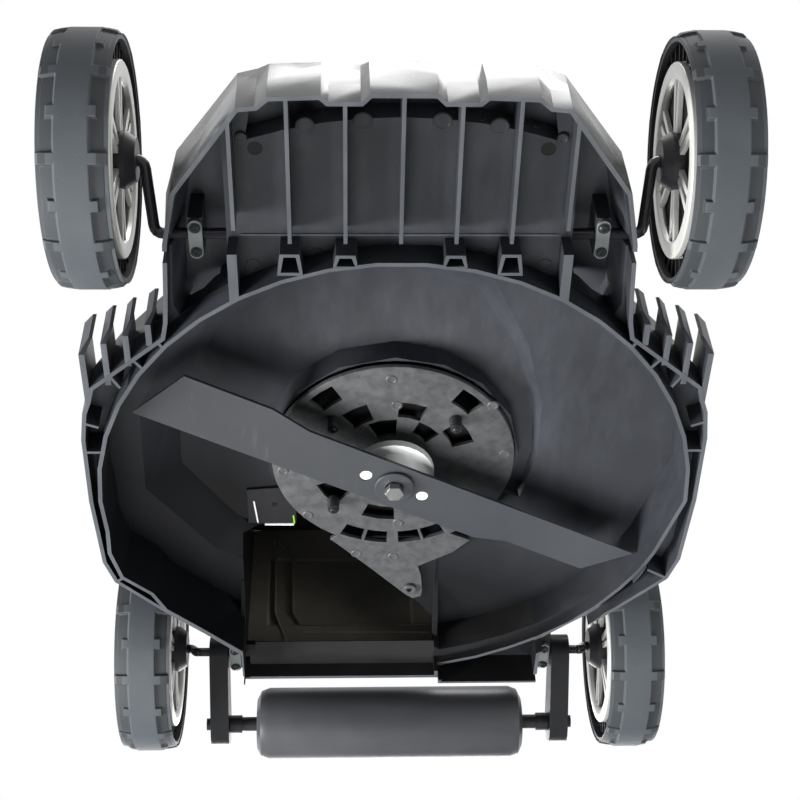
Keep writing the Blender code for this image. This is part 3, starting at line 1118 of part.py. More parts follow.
def handle_block(x_from, x_to, start, end, low, high, chamfer, into=None):
    """A block along the handle, chamfered on its long edges."""
    outline = [(start, low), (end, low), (end, high - chamfer), (end - chamfer, high), (start + chamfer, high),
               (start, high - chamfer)]
    sections = [[along_handle(x, a, b) for a, b in outline] for x in sorted((x_from, x_to))]
    return sections_to_solid(sections, into)


def switch_box():
    """The switch box beside the right leg, with a well for the button, a bail eye and the inlet."""
    origin = tuple(FOLD_POINT)
    start, end = BOX_ALONG - BOX_LENGTH + BOX_AHEAD, BOX_ALONG + BOX_AHEAD
    block = handle_block(BOX_X - BOX_DEEP / 2, BOX_X + BOX_DEEP / 2, start, end, -BOX_HEIGHT / 2, BOX_HEIGHT / 2, 0.0100)
    made = piece("switch_box", block, BLACK_PLASTIC, origin)
    strap = handle_block(-UPPER_X - TUBE_RADIUS - 0.0030, BOX_X - BOX_DEEP / 2 + LAP, BOX_ALONG - 0.0200,
                         BOX_ALONG + 0.0200, -TUBE_RADIUS - 0.0030, TUBE_RADIUS + 0.0030, 0.0040)
    combine(made, helper("box_strap", strap, origin), "UNION")
    tube_way = swept([along_handle(-UPPER_X, BOX_ALONG - 0.06), along_handle(-UPPER_X, BOX_ALONG + 0.06)],
                     TUBE_RADIUS + SEAT_GAP * 2, 12)
    combine(made, helper("strap_bore", tube_way, origin))
    well = swept([along_handle(BOX_X, BOX_ALONG - 0.0200, BOX_HEIGHT / 2 - 0.0140),
                  along_handle(BOX_X, BOX_ALONG - 0.0200, BOX_HEIGHT / 2 + 0.0100)], BUTTON_RADIUS + SEAT_GAP, 16)
    combine(made, helper("button_well", well, origin))
    eye = cross_hole("bail_eye", BOX_ALONG, BOX_X + BOX_DEEP / 2 - 0.0080, BOX_X + BOX_DEEP / 2 + 0.01,
                     BAIL_RADIUS + SEAT_GAP, origin)
    combine(made, eye)
    socket_way = swept([along_handle(BOX_X, start - 0.01), along_handle(BOX_X, start + 0.0150)], 0.0150, 20)
    combine(made, helper("inlet_way", socket_way, origin))
    body = [(0.0, 0.0), (0.0, 0.0147), (0.0220, 0.0147), (0.0220, 0.0125), (0.0080, 0.0125), (0.0080, 0.0)]
    inlet = turned([(0.0147 - a, r) for a, r in body], (0.0, 0.0, 0.0), "Z", 20)
    tilt = Matrix.Rotation(-(pi / 2 - HANDLE_ANGLE), 4, "X")
    bmesh.ops.transform(inlet, verts=inlet.verts, matrix=Matrix.Translation(along_handle(BOX_X, start)) @ tilt)
    piece("mains_inlet", inlet, BLACK_PLASTIC, origin)
    button = swept([along_handle(BOX_X, BOX_ALONG - 0.0200, BOX_HEIGHT / 2 - 0.0060),
                    along_handle(BOX_X, BOX_ALONG - 0.0200, BOX_HEIGHT / 2 + 0.0070)], BUTTON_RADIUS - SEAT_GAP, 16)
    piece("safety_button", button, RED_PLASTIC, tuple(along_handle(BOX_X, BOX_ALONG - 0.0200, BOX_HEIGHT / 2)))


def bail():
    """The bow that is pulled to the cross bar: one end in the switch box, the other in the left leg."""
    pivot = along_handle(0.0, BOX_ALONG)
    reach = Vector((0.0, cos(BAIL_ANGLE), sin(BAIL_ANGLE))) * (BAIL_BACK + 0.0020)
    left = UPPER_X - TUBE_RADIUS
    right = BOX_X + BOX_DEEP / 2
    corners = [pivot + Vector((left + 0.0050, 0.0, 0.0)), pivot + Vector((left - 0.0140, 0.0, 0.0)),
               pivot + reach + Vector((left - 0.0140, 0.0, 0.0)), pivot + reach + Vector((right + 0.0120, 0.0, 0.0)),
               pivot + Vector((right + 0.0120, 0.0, 0.0)), pivot + Vector((right - 0.0070, 0.0, 0.0))]
    piece("bail", swept(rounded_path(corners, 0.0050, 4), BAIL_RADIUS, 10), ROD_STEEL, tuple(pivot), 50)


# The whole machine
def build():
    deck()
    motor_plate()
    motor()
    rotor_group()
    top_cover()
    hood_trim()
    carry_handle()
    rear_flap()
    for where in WHEELS:
        wheel(where)
    axle_rod("front_axle", FRONT_PIVOT, 0.0)
    axle_rod("rear_axle", REAR_PIVOT, WHEELBASE)
    roller_group()
    for name, side in (("left", 1), ("right", -1)):
        axle_clamp(f"front_clamp_{name}", side * FRONT_CLAMP_X, FRONT_PIVOT)
        axle_clamp(f"rear_clamp_{name}", side * REAR_CLAMP_X, REAR_PIVOT)
        handle_bracket(f"handle_bracket_{name}", side)
        inner = side * (HANDLE_X - TUBE_RADIUS - SEAT_GAP - BRACKET_THICK)
        outer = side * (HANDLE_X + TUBE_RADIUS + SEAT_GAP)
        pivot = (side * HANDLE_X, HANDLE_PIVOT.y, HANDLE_PIVOT.z)
        pin_with_head(f"pivot_bolt_{name}", inner - side * SEAT_GAP, outer + side * 0.0055, 0.0, pivot)
        clamp_lever(f"pivot_lever_{name}", outer, side, 0.0, pivot)
        fold = (side * HANDLE_X, FOLD_POINT.y, FOLD_POINT.z)
        outer = side * (UPPER_X + TUBE_RADIUS + SEAT_GAP)
        pin_with_head(f"fold_bolt_{name}", side * (HANDLE_X - TUBE_RADIUS - SEAT_GAP), outer + side * 0.0055,
                      LOWER_LENGTH, fold)
        clamp_lever(f"fold_lever_{name}", outer, side, LOWER_LENGTH, fold)
    lower_handle()
    upper_handle()
    switch_box()
    bail()


build()
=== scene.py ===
# Looks of an electric lawn mower: moulded deck, ribbed wheels, blade, flap, roller and folding handle.
from math import atan2, cos, pi, radians, sin

import bmesh
import bpy
from bpy.props import FloatProperty, FloatVectorProperty, IntProperty, PointerProperty
from mathutils import Matrix, Vector


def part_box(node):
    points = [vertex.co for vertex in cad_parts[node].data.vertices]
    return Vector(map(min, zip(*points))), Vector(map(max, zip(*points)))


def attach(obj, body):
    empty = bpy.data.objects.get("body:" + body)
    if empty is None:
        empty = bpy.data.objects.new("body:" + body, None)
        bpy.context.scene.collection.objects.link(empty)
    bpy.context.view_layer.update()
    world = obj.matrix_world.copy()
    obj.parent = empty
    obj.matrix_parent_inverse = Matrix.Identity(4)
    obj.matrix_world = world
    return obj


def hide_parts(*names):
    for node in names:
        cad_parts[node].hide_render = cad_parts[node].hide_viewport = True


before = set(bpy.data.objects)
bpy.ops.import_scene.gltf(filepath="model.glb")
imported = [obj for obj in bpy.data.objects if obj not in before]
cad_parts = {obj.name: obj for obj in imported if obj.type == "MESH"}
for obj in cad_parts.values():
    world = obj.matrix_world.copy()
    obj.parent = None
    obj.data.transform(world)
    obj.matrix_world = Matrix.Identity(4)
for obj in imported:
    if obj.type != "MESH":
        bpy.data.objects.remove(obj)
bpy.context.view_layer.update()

bl_info = {
    "name": "Lawn mower looks",
    "version": (1, 0, 0),
    "blender": (4, 5, 0),
    "location": "View3D > Sidebar > Mower",
    "description": "Builds the visible pieces of a push lawn mower on its packed frame",
    "category": "Object",
}

# Places taken from the frame: the front wheel axis is the zero of lengths along the machine
FRONT_Y = (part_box("tyre_front_left")[0][1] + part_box("tyre_front_left")[1][1]) / 2
MOTOR_Y = (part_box("motor_plate")[0][1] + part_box("motor_plate")[1][1]) / 2
AXIS = Vector((0.0, MOTOR_Y, 0.0))
CORNERS = ("front_left", "front_right", "rear_left", "rear_right")
TYRE_INNER_X = 0.2107
TYRE_WIDTH = 0.0528

# Directions
UP = (0.0, 0.0, 1.0)
DOWN = (0.0, 0.0, -1.0)
ACROSS = (1.0, 0.0, 0.0)

# Camera: its place from the front wheel axis, its angles in degrees and its focal length in pixels
EYE = (-0.04103, -0.65819, -0.94963)
EYE_ANGLES = (2.9216, 49.2404, -2.3538)
FOCAL_PIXELS = 1578.42
PICTURE_PIXELS = 800.0
SENSOR = 36.0

# Lamps: name, place, target, diameter and power
LAMPS = (
    ("lamp_below", (-0.3, 0.9, -2.4), (0.0, 0.25, 0.05), 2.0, 95.0),
    ("lamp_right", (-2.2, 0.3, -1.2), (0.0, 0.3, 0.05), 1.0, 150.0),
    ("lamp_left", (1.9, -0.2, -0.9), (0.0, 0.3, 0.05), 1.2, 15.0),
    ("lamp_above", (0.4, -0.4, 2.4), (0.0, 0.3, 0.1), 1.8, 30.0),
    ("lamp_rear", (0.0, 2.4, 0.6), (0.0, 0.4, 0.1), 1.4, 30.0),
)
SKY = (0.93, 0.97, 1.0, 1.0)
SKY_STRENGTH = 0.30
FLOOR_SIZE = 6.0
FLOOR_GLOW = 0.45
FLOOR_GLOW_GROWTH = 0.16

# Grain and smears that the plastics share
PLASTIC_GRAIN = 2600.0
STREAKED = (1.0, 0.35, 1.0)

# Pieces that keep their CAD shape
PLAIN_NODES = {
    "motor_can": "dark", "lower_bearing": "zinc", "upper_bearing": "zinc", "rotor_core": "zinc",
    "motor_shaft": "zinc", "flap_pin": "zinc", "mains_inlet": "black", "safety_button": "red",
    "hood_trim": "accent",
}

# Pieces that get softer edges: node, piece, finish, body, slot, bevel and smoothing angle
EDGED = (
    ("lower_handle", "lower_tubes", "tube", "lower_handle", "handle_tube", 0.0, 50.0),
    ("upper_handle", "upper_tube", "tube", "upper_handle", "handle_tube", 0.0, 50.0),
    ("grip", "foam_grip", "foam", "upper_handle", "grip_foam", 0.0, 40.0),
    ("switch_box", "switch_housing", "black", "upper_handle", "black_plastic", 0.001, 32.0),
    ("bail", "bail_bow", "rod", "bail", "painted_rod", 0.0, 60.0),
    ("roller", "roller_barrel", "roller", "roller", "black_plastic", 0.0, 30.0),
    ("roller_shaft", "roller_axle", "black", "roller_carrier", "black_plastic", 0.0003, 30.0),
    ("blade", "bar_blade", "blade", "rotor", "blade_steel", 0.0004, 25.0),
    ("blade_bolt", "hex_bolt", "zinc", "rotor", "bright_steel", 0.0004, 30.0),
    ("spacer_disc", "white_spacer", "white", "rotor", "white_plastic", 0.0, 30.0),
    ("front_axle", "front_rod", "rod", "front_axle", "painted_rod", 0.0, 60.0),
    ("rear_axle", "rear_rod", "rod", "rear_axle", "painted_rod", 0.0, 60.0),
)

# The same for pieces on both sides, where braces stand for the side
EDGED_PAIRS = (
    ("front_clamp_{}", "front_clamp_plate_{}", "clamp", "chassis", "bright_steel", 0.0005),
    ("rear_clamp_{}", "rear_clamp_plate_{}", "clamp", "chassis", "bright_steel", 0.0005),
    ("handle_bracket_{}", "bracket_{}", "black", "chassis", "black_plastic", 0.0008),
    ("pivot_bolt_{}", "pivot_pin_{}", "zinc", "chassis", "bright_steel", 0.0004),
    ("fold_bolt_{}", "fold_pin_{}", "zinc", "lower_handle", "bright_steel", 0.0004),
    ("pivot_lever_{}", "pivot_tongue_{}", "black", "pivot_lever_{}", "black_plastic", 0.001),
    ("fold_lever_{}", "fold_tongue_{}", "black", "fold_lever_{}", "black_plastic", 0.001),
    ("roller_arm_{}", "arm_{}", "deck", "roller_carrier", "deck_plastic", 0.0008),
)

# The deck: heights of its cuts, its front holes with their near-black discs of painted shade, and where its
# painted sheen, painted light and painted shade begin
MOUTH_HEIGHTS = (0.0640, 0.0990)
MOUTH_FRONT_HEIGHTS = (0.0700, 0.1620)
FRONT_HOLE_X = 0.1090
FRONT_HOLE_Y = -0.0355
FRONT_HOLE_SHAPE = [(0.0, 0.0), (0.0, 0.0058), (0.0090, 0.0058), (0.0090, 0.0)]
HOLE_SHADE_DISC = [(0.0, 0.0), (0.0, 0.0062), (0.0006, 0.0066), (0.0018, 0.0066), (0.0018, 0.0)]
FRONT_CEILING = 0.0600
NOSE_END = -0.0100
DECK_MIDDLE = 0.2500
RIM_TOP = 0.0590
TAIL_START = 0.5000
TAIL_HALF = 0.1700
FRONT_HOLE_Z = 0.0560
HOLE_SHADE_DEPTH = 0.0004
DISC_HEIGHT = 0.0007
FRONT_BOSS_X = 0.1190
FRONT_BOSS_Y = -0.0455
FRONT_BOSS_RADIUS = 0.0046
FRONT_BOSS_HEIGHT = 0.0030
PLATE_LIP_HEIGHTS = (0.0588, 0.0612)
MOUTH_CEILING_HEIGHTS = (0.0944, 0.0975)
MOUTH_CHEEKS_X = ((0.0418, 0.0440), (-0.1432, -0.1408))
HOLDER_HEIGHTS = (0.1225, 0.1255)
HOLDER_EDGE_HEIGHTS = (0.1218, 0.1232)
HOLDER_HOLE = [(0.0, 0.0), (0.0, 0.0026), (-0.0006, 0.0026), (-0.0006, 0.0)]
HOLDER_HOLE_PLACE = (-0.1105, 0.3950, 0.1225)

# Limits of a face's normal that pick where the deck gets painted sheen, painted light and painted shade, and
# the flap's face of painted light
FACES_OUT = 0.35
FACES_BACK = 0.3
FACES_UP = 0.5
FACES_UNDER = -0.30
FACES_DOWN = -0.95

# Slots of the deck's painted sheen, painted light and painted shade
SHEEN_SKIN, LIT_UNDERFACES, SILL_SHADE = 1, 2, 3

# The motor plate and what stands on it: heights of its faces and outlines of turned shapes
PLATE_LOW = 0.0890
PLATE_THICK = 0.0040
PLATE_EDGE = [(0.0, 0.0120), (0.0, 0.1070), (0.0008, 0.1086), (0.0030, 0.1094), (PLATE_THICK, 0.1094),
              (PLATE_THICK, 0.0120)]
STUD = [(0.0008, 0.0), (0.0008, 0.0058), (-0.0120, 0.0052), (-0.0128, 0.0046), (-0.0128, 0.0)]
STUD_X = (-0.0540, 0.0540)
STUD_Y = (0.2590, 0.3570)
STUD_TIP = 0.0762
PLATE_SCREW = 0.0034
PLATE_SCREW_TURN = 9.0
CLAMP_SCREW = 0.0038
CLAMP_SCREW_INSET = 0.0068
CLAMP_SCREW_TURN = 0.4
CLAMP_SCREW_TURN_STEP = 0.5
TAIL_LOW = 0.0902
TAIL_TOP = 0.0945
TAIL_DISCS = [(-0.0330, 0.4290), (0.0020, 0.4330)]
TAIL_DISC_HEIGHT = 0.0006
TAIL_BOSS_PLACE = (0.0186, 0.4770)
CUT_OVER = 0.0020
TAIL_BOSS = [(0.0010, 0.0028), (0.0010, 0.0068), (-0.0030, 0.0064), (-0.0034, 0.0058), (-0.0034, 0.0034),
             (-0.0030, 0.0028)]
LUG = [(0.0, 0.0), (0.0, 0.0050), (0.0005, 0.0055), (0.0140, 0.0055), (0.0140, 0.0)]
LUG_SINK = 0.0006
WASHER_BORE = 0.0085
WASHER_FACE = 0.0168
WASHER_RADIUS = 0.0176
WASHER_ROUND = 0.0005

# Wheels and tyres, lengths along the axle and drops from the tread
TREAD_EDGE = [(0.0, 0.0), (0.0070, 0.0), (0.0125, 0.0), (0.0180, 0.0008), (0.0236, 0.0020)]
TREAD_THICK = 0.0046
TREAD_LIP = 0.0012
RECESS_INNER = 0.0125
RECESS_STEP = 0.0185
RECESS_BORDER = 0.0010
RECESS_REACH = 0.0035
RECESS_END = 0.0005
GROOVE_SHARE = 0.6
GROOVE_EDGE = 0.0020
TRIM_X = TYRE_INNER_X + 0.0050
TRIM_RING = [(-0.0030, 0.0640), (-0.0036, 0.0660), (-0.0036, 0.0745), (-0.0026, 0.0762), (0.0020, 0.0762),
             (0.0020, 0.0620), (0.0000, 0.0620)]
# near-black web behind the inner spokes: painted shade
WEB_OF_SHADE = [(0.0032, 0.0170), (0.0032, 0.0630), (0.0044, 0.0630), (0.0044, 0.0170)]
SPOKES = 6
SPOKE = (0.0042, 0.0052, 0.0440)
SPOKE_SPLIT = 0.0052
SPOKE_TILT = 5.0
SPOKE_OUT = 0.0425
SPOKE_SHIFT = 0.0006
RIB_NEAR = TYRE_INNER_X + 0.0062
RIB_FAR = TYRE_INNER_X + 0.0192
RIB_THICK = 0.0013
RIB_LONG = 0.0146
RIB_OUT = 0.0841

# Outlines in the plan, partly read off the photograph, written from the front wheel axis
MOUTH = [(-0.1405, 0.4500), (0.0425, 0.4500), (0.0425, 0.5312), (-0.1405, 0.5312)]
MOUTH_FRONT = [(-0.0930, 0.4020), (-0.0480, 0.4020), (-0.0480, 0.4300), (-0.0930, 0.4300)]
HOLDER = [(-0.1360, 0.3760), (-0.0900, 0.3720), (-0.0900, 0.4200), (-0.1360, 0.4200)]
# white and green strips along the holder's edges: painted light of a bright slit
HOLDER_SLOT = [(-0.1203, 0.4200), (-0.0926, 0.4202), (-0.0926, 0.4226), (-0.1203, 0.4224)]
HOLDER_EDGE = [(-0.1304, 0.3903), (-0.1290, 0.3903), (-0.1262, 0.4184), (-0.1276, 0.4184)]
HOLDER_GREEN_LIGHT = [(-0.0936, 0.4092), (-0.0922, 0.4092), (-0.0914, 0.4200), (-0.0928, 0.4200)]
PLATE_LIP = [(-0.1230, 0.0408), (0.1230, 0.0408), (0.1230, 0.0424), (-0.1230, 0.0424)]
MOUTH_CHEEK = [(0.4700, 0.0975), (0.5312, 0.0975), (0.5312, 0.0790), (0.5228, 0.0768), (0.4812, 0.0914),
               (0.4700, 0.0950)]
TAIL_EDGE = [(-0.0578, 0.4097), (-0.0493, 0.4179), (-0.0179, 0.4511), (0.0146, 0.4867)]
TAIL_CEILING = TAIL_EDGE + [(0.0300, 0.5050), (0.0411, 0.5220), (0.0424, 0.5312), (0.0440, 0.5312),
                            (0.0440, 0.4100), (0.0000, 0.4100)]
TAIL = TAIL_EDGE + [(0.0223, 0.4925), (0.0300, 0.4890), (0.0312, 0.4807), (0.0293, 0.4595),
                    (0.0261, 0.4469), (0.0588, 0.4279), (0.0742, 0.4117), (0.0548, 0.4024), (0.0283, 0.4134),
                    (0.0000, 0.4171), (-0.0283, 0.4134), (-0.0514, 0.4043)]

# Places of the blade's two small holes
BLADE_HOLES = [(-0.0249, 0.2952), (0.0249, 0.3208)]

# Motor plate windows, middles read off the photograph: radius, angle, half depth, half width in degrees
VENTS = [(0.0400, -103.0, 0.0095, 16.0), (0.0434, -51.5, 0.0080, 13.0), (0.0619, -121.0, 0.0095, 11.0),
         (0.0612, -75.7, 0.0085, 11.0), (0.0649, -28.5, 0.0100, 11.0), (0.0655, 145.6, 0.0100, 11.0),
         (0.0661, 100.5, 0.0080, 12.0), (0.0945, -129.0, 0.0090, 7.2), (0.0940, -47.6, 0.0090, 7.2),
         (0.0975, 111.6, 0.0072, 5.9), (0.0975, 98.4, 0.0072, 5.9), (0.0975, 80.6, 0.0072, 5.9),
         (0.0975, 67.4, 0.0072, 5.9)]

# Ejector discs, partly read off the photograph: on the motor plate, then with radii at the front
PLATE_DISCS = [(-0.0992, 0.3200), (-0.0778, 0.3760), (0.0057, 0.3870), (-0.0030, 0.2130), (0.0860, 0.2430),
               (0.1000, 0.3000), (0.0020, 0.2420), (0.0720, 0.3740)]
DISC_RADIUS = 0.0052
FRONT_DISCS = [(0.0717, -0.0544, 0.0072), (0.0293, -0.0585, 0.0076), (0.0645, 0.0600, 0.0061),
               (0.1145, 0.0709, 0.0065), (0.0210, 0.0600, 0.0038)]

# The flap
FLAP_MIDDLE = -0.0490
FLAP_FRONT = 0.5555
FLAP_BACK = 0.5590
FLAP_RIBS = 7
FLAP_RIB_STEP = 0.0240
FLAP_RIB_HALF = 0.0010
FLAP_RIB_DEEP = 0.0022
FLAP_RIB_HEIGHTS = (0.1180, 0.2280)
FLAP_LEDGE_HEIGHTS = (0.1110, 0.1140)
FLAP_LEDGE = [(FLAP_MIDDLE - 0.0740, FLAP_BACK), (FLAP_MIDDLE + 0.0740, FLAP_BACK),
              (FLAP_MIDDLE + 0.0700, 0.5660), (FLAP_MIDDLE - 0.0700, 0.5660)]

# Raised lines on the flap, partly read off the photograph: name, radius and (x, z) corners
FLAP_LINES = [
    ("flap_frame_outer", 0.0015,
     [(-0.1276, 0.2450), (-0.1176, 0.2324), (-0.1152, 0.1278), (-0.1030, 0.0919)]),
    ("flap_frame_inner", 0.0014,
     [(-0.1154, 0.2324), (-0.0988, 0.2044), (-0.0969, 0.1276), (-0.0884, 0.1125), (0.0420, 0.1110)]),
    ("flap_frame_lower", 0.0010, [(-0.0870, 0.1035), (0.0420, 0.1020)]),
]


def at(x, y, z):
    """A place written from the front wheel axis, in the frame's own coordinates."""
    return Vector((x, y + FRONT_Y, z))


# Sizes and colours
class MowerSizes(bpy.types.PropertyGroup):
    tread_depth: FloatProperty(name="Tread depth", description="Depth of the recesses in the tread",
                               default=0.0024, min=0.0, max=0.004, unit="LENGTH")
    tread_blocks: IntProperty(name="Tread recesses", description="Recesses round each edge of a tyre",
                              default=18, min=8, max=36)
    rim_ribs: IntProperty(name="Rim ribs", description="Radial ribs on each side of a wheel",
                          default=36, min=12, max=72)
    edge_round: FloatProperty(name="Edge rounding", description="Radius of the moulded edges",
                              default=0.0006, min=0.0001, max=0.002, unit="LENGTH")


class MowerColours(bpy.types.PropertyGroup):
    deck: FloatVectorProperty(name="Deck", description="Moulded deck plastic", subtype="COLOR",
                              size=3, default=(0.027, 0.029, 0.034), min=0.0, max=1.0)
    rubber: FloatVectorProperty(name="Rubber", description="Tyre rubber", subtype="COLOR",
                                size=3, default=(0.045, 0.052, 0.059), min=0.0, max=1.0)
    silver: FloatVectorProperty(name="Silver trim", description="Lacquer on the wheel trims",
                                subtype="COLOR", size=3, default=(0.60, 0.60, 0.575), min=0.0, max=1.0)
    blade: FloatVectorProperty(name="Blade", description="Paint on the blade", subtype="COLOR",
                               size=3, default=(0.035, 0.038, 0.043), min=0.0, max=1.0)
    accent: FloatVectorProperty(name="Accent", description="Coloured band on the hood", subtype="COLOR",
                                size=3, default=(0.26, 0.55, 0.03), min=0.0, max=1.0)


# Shader expressions
class Flow:
    """A number or colour on its way through a material's nodes."""

    def __init__(self, recipe, socket):
        self.recipe = recipe
        self.socket = socket

    def _math(self, operation, first, second):
        node = self.recipe.node("ShaderNodeMath", {"operation": operation}, [first, second])
        return Flow(self.recipe, node.outputs[0])

    def __add__(self, other):
        return self._math("ADD", self, other)

    def __radd__(self, other):
        return self._math("ADD", other, self)

    def __sub__(self, other):
        return self._math("SUBTRACT", self, other)

    def __mul__(self, other):
        return self._math("MULTIPLY", self, other)

    def capped(self, other):
        return self._math("MINIMUM", self, other)


class Recipe:
    """One material: its nodes, and what feeds its shader."""

    def __init__(self, name):
        self.material = bpy.data.materials.new(name)
        self.material.use_nodes = True
        self.tree = self.material.node_tree
        self.shader = self.tree.nodes["Principled BSDF"]
        self.output = self.tree.nodes["Material Output"]

    def node(self, kind, settings=None, values=None):
        """Add a node: settings first, then the value or link of each socket, by place or by name."""
        made = self.tree.nodes.new(kind)
        for key, value in (settings or {}).items():
            if key == "stops":
                ramp = made.color_ramp
                for stop, (place, shade) in zip(ramp.elements, value):
                    stop.position = place
                    stop.color = (shade, shade, shade, 1.0)
                continue
            setattr(made, key, value)
        pairs = values.items() if isinstance(values, dict) else enumerate(values or [])
        for key, value in pairs:
            self.feed(made.inputs[key], value)
        return made

    def feed(self, socket, value):
        if isinstance(value, Flow):
            self.tree.links.new(value.socket, socket)
        elif isinstance(value, (tuple, list)) and socket.type == "RGBA":
            socket.default_value = (*value[:3], 1.0)
        else:
            socket.default_value = value

    def place(self):
        return Flow(self, self.node("ShaderNodeTexCoord").outputs["Object"])

    def apart(self):
        """The three coordinates of a point on the object."""
        split = self.node("ShaderNodeSeparateXYZ", None, [self.place()])
        return [Flow(self, socket) for socket in split.outputs]

    def noise(self, scale, detail=3.0, roughness=0.55, stretch=None):
        source = self.place()
        if stretch:
            mapped = self.node("ShaderNodeMapping", None, {"Vector": source, "Scale": stretch})
            source = Flow(self, mapped.outputs[0])
        values = {"Vector": source, "Scale": scale, "Detail": detail, "Roughness": roughness}
        return Flow(self, self.node("ShaderNodeTexNoise", None, values).outputs["Fac"])

    def ramp(self, source, low, high):
        """Stretch the part of a mask between two values over its whole range."""
        made = self.node("ShaderNodeValToRGB", {"stops": [(low, 0.0), (high, 1.0)]}, [source])
        return Flow(self, made.outputs["Color"])

    def blend(self, share, first, second):
        made = self.node("ShaderNodeMix", {"data_type": "RGBA"}, {0: share, 6: first, 7: second})
        return Flow(self, made.outputs[2])

    def relief(self, height, strength, distance):
        values = {"Strength": strength, "Distance": distance, "Height": height}
        made = self.node("ShaderNodeBump", None, values)
        self.feed(self.shader.inputs["Normal"], Flow(self, made.outputs[0]))

    def set(self, **values):
        """Feed sockets of the shader: underscores stand for spaces."""
        for key, value in values.items():
            self.feed(self.shader.inputs[key.replace("_", " ")], value)
        return self.material


def tinted(colour, factor):
    return tuple(min(1.0, channel * factor) for channel in colour)


def dusty_plastic(recipe, colour, dust):
    """Cloudy plastic with smears of dust: its colour, its clouds and its smears."""
    cloud = recipe.noise(9.0, 4.0, 0.6)
    smear = recipe.ramp(recipe.noise(26.0, 6.0, 0.7, STREAKED), 0.45, 0.75)
    base = recipe.blend(cloud, tinted(colour, 0.75), tinted(colour, 1.35))
    return recipe.blend(smear * dust, base, tinted(colour, 2.4)), cloud, smear


def moulded(name, colour, gloss=0.36, grain=0.00005, dust=0.35, shine=0.25):
    """Moulded plastic: fine grain, cloudy sheen and a little dust."""
    recipe = Recipe(name)
    dusty, cloud, smear = dusty_plastic(recipe, colour, dust)
    recipe.relief(recipe.noise(PLASTIC_GRAIN, 2.0, 0.5), 0.35, grain)
    recipe.set(Specular_IOR_Level=shine)
    return recipe.set(Base_Color=dusty, Roughness=gloss - 0.10 + cloud * 0.14 + smear * 0.10)


def deck_finish(name, colour):
    """The deck's plastic, darkened by painted shade towards the rear and the discharge corner."""
    recipe = Recipe(name)
    across, along = recipe.apart()[:2]
    # painted shade: a ramp over the plan that darkens the plastic towards the rear and the discharge corner
    shade_ramp = recipe.ramp(along - FRONT_Y - across * 0.45, 0.30, 0.44)
    unshaded_plastic, cloud, smear = dusty_plastic(recipe, colour, 0.4)
    recipe.relief(recipe.noise(PLASTIC_GRAIN, 2.0, 0.5), 0.35, 0.00005)
    recipe.set(Specular_IOR_Level=0.25)
    return recipe.set(Base_Color=recipe.blend(shade_ramp, unshaded_plastic, tinted(colour, 0.22)),
                      Roughness=0.30 + cloud * 0.12 + smear * 0.10)


def rubber(name, colour):
    """Tyre rubber: matt, with paler scuffs, a few specks and a soft grain."""
    recipe = Recipe(name)
    cloud = recipe.noise(30.0, 5.0, 0.65)
    speck = recipe.ramp(recipe.noise(420.0, 3.0, 0.6), 0.66, 0.74)
    fine = recipe.noise(1800.0, 3.0, 0.6)
    base = recipe.blend(cloud, tinted(colour, 0.78), tinted(colour, 1.2))
    lightened = recipe.blend(speck * 0.5, base, tinted(colour, 2.2))
    recipe.relief(fine + cloud * 2.0, 0.4, 0.00012)
    return recipe.set(Base_Color=lightened, Roughness=0.62 + cloud * 0.16)


def lacquer(name, colour, roughness=0.28, metallic=0.0, grain=0.0):
    """Painted or plated surface with faint handling marks."""
    recipe = Recipe(name)
    cloud = recipe.noise(45.0, 4.0, 0.6)
    mark = recipe.ramp(recipe.noise(160.0, 5.0, 0.7, (1.0, 0.15, 1.0)), 0.58, 0.72)
    base = recipe.blend(cloud, tinted(colour, 0.90), tinted(colour, 1.08))
    marked = recipe.blend(mark * 0.25, base, tinted(colour, 1.5))
    if grain:
        recipe.relief(recipe.noise(1500.0, 2.0, 0.5), 0.3, grain)
    return recipe.set(Base_Color=marked, Roughness=roughness + mark * 0.15, Metallic=metallic)


def cast(name, colour, metallic):
    """Mottled cast metal: bright and dull patches over a coarse skin."""
    recipe = Recipe(name)
    patch = recipe.ramp(recipe.noise(110.0, 5.0, 0.7), 0.35, 0.68)
    fine = recipe.noise(900.0, 3.0, 0.6)
    base = recipe.blend(patch, tinted(colour, 0.75), tinted(colour, 1.3))
    recipe.relief(fine + patch, 0.5, 0.0002)
    return recipe.set(Base_Color=base, Roughness=0.42 + patch * 0.15, Metallic=metallic)


# Finishes made so far
FINISHES = {}


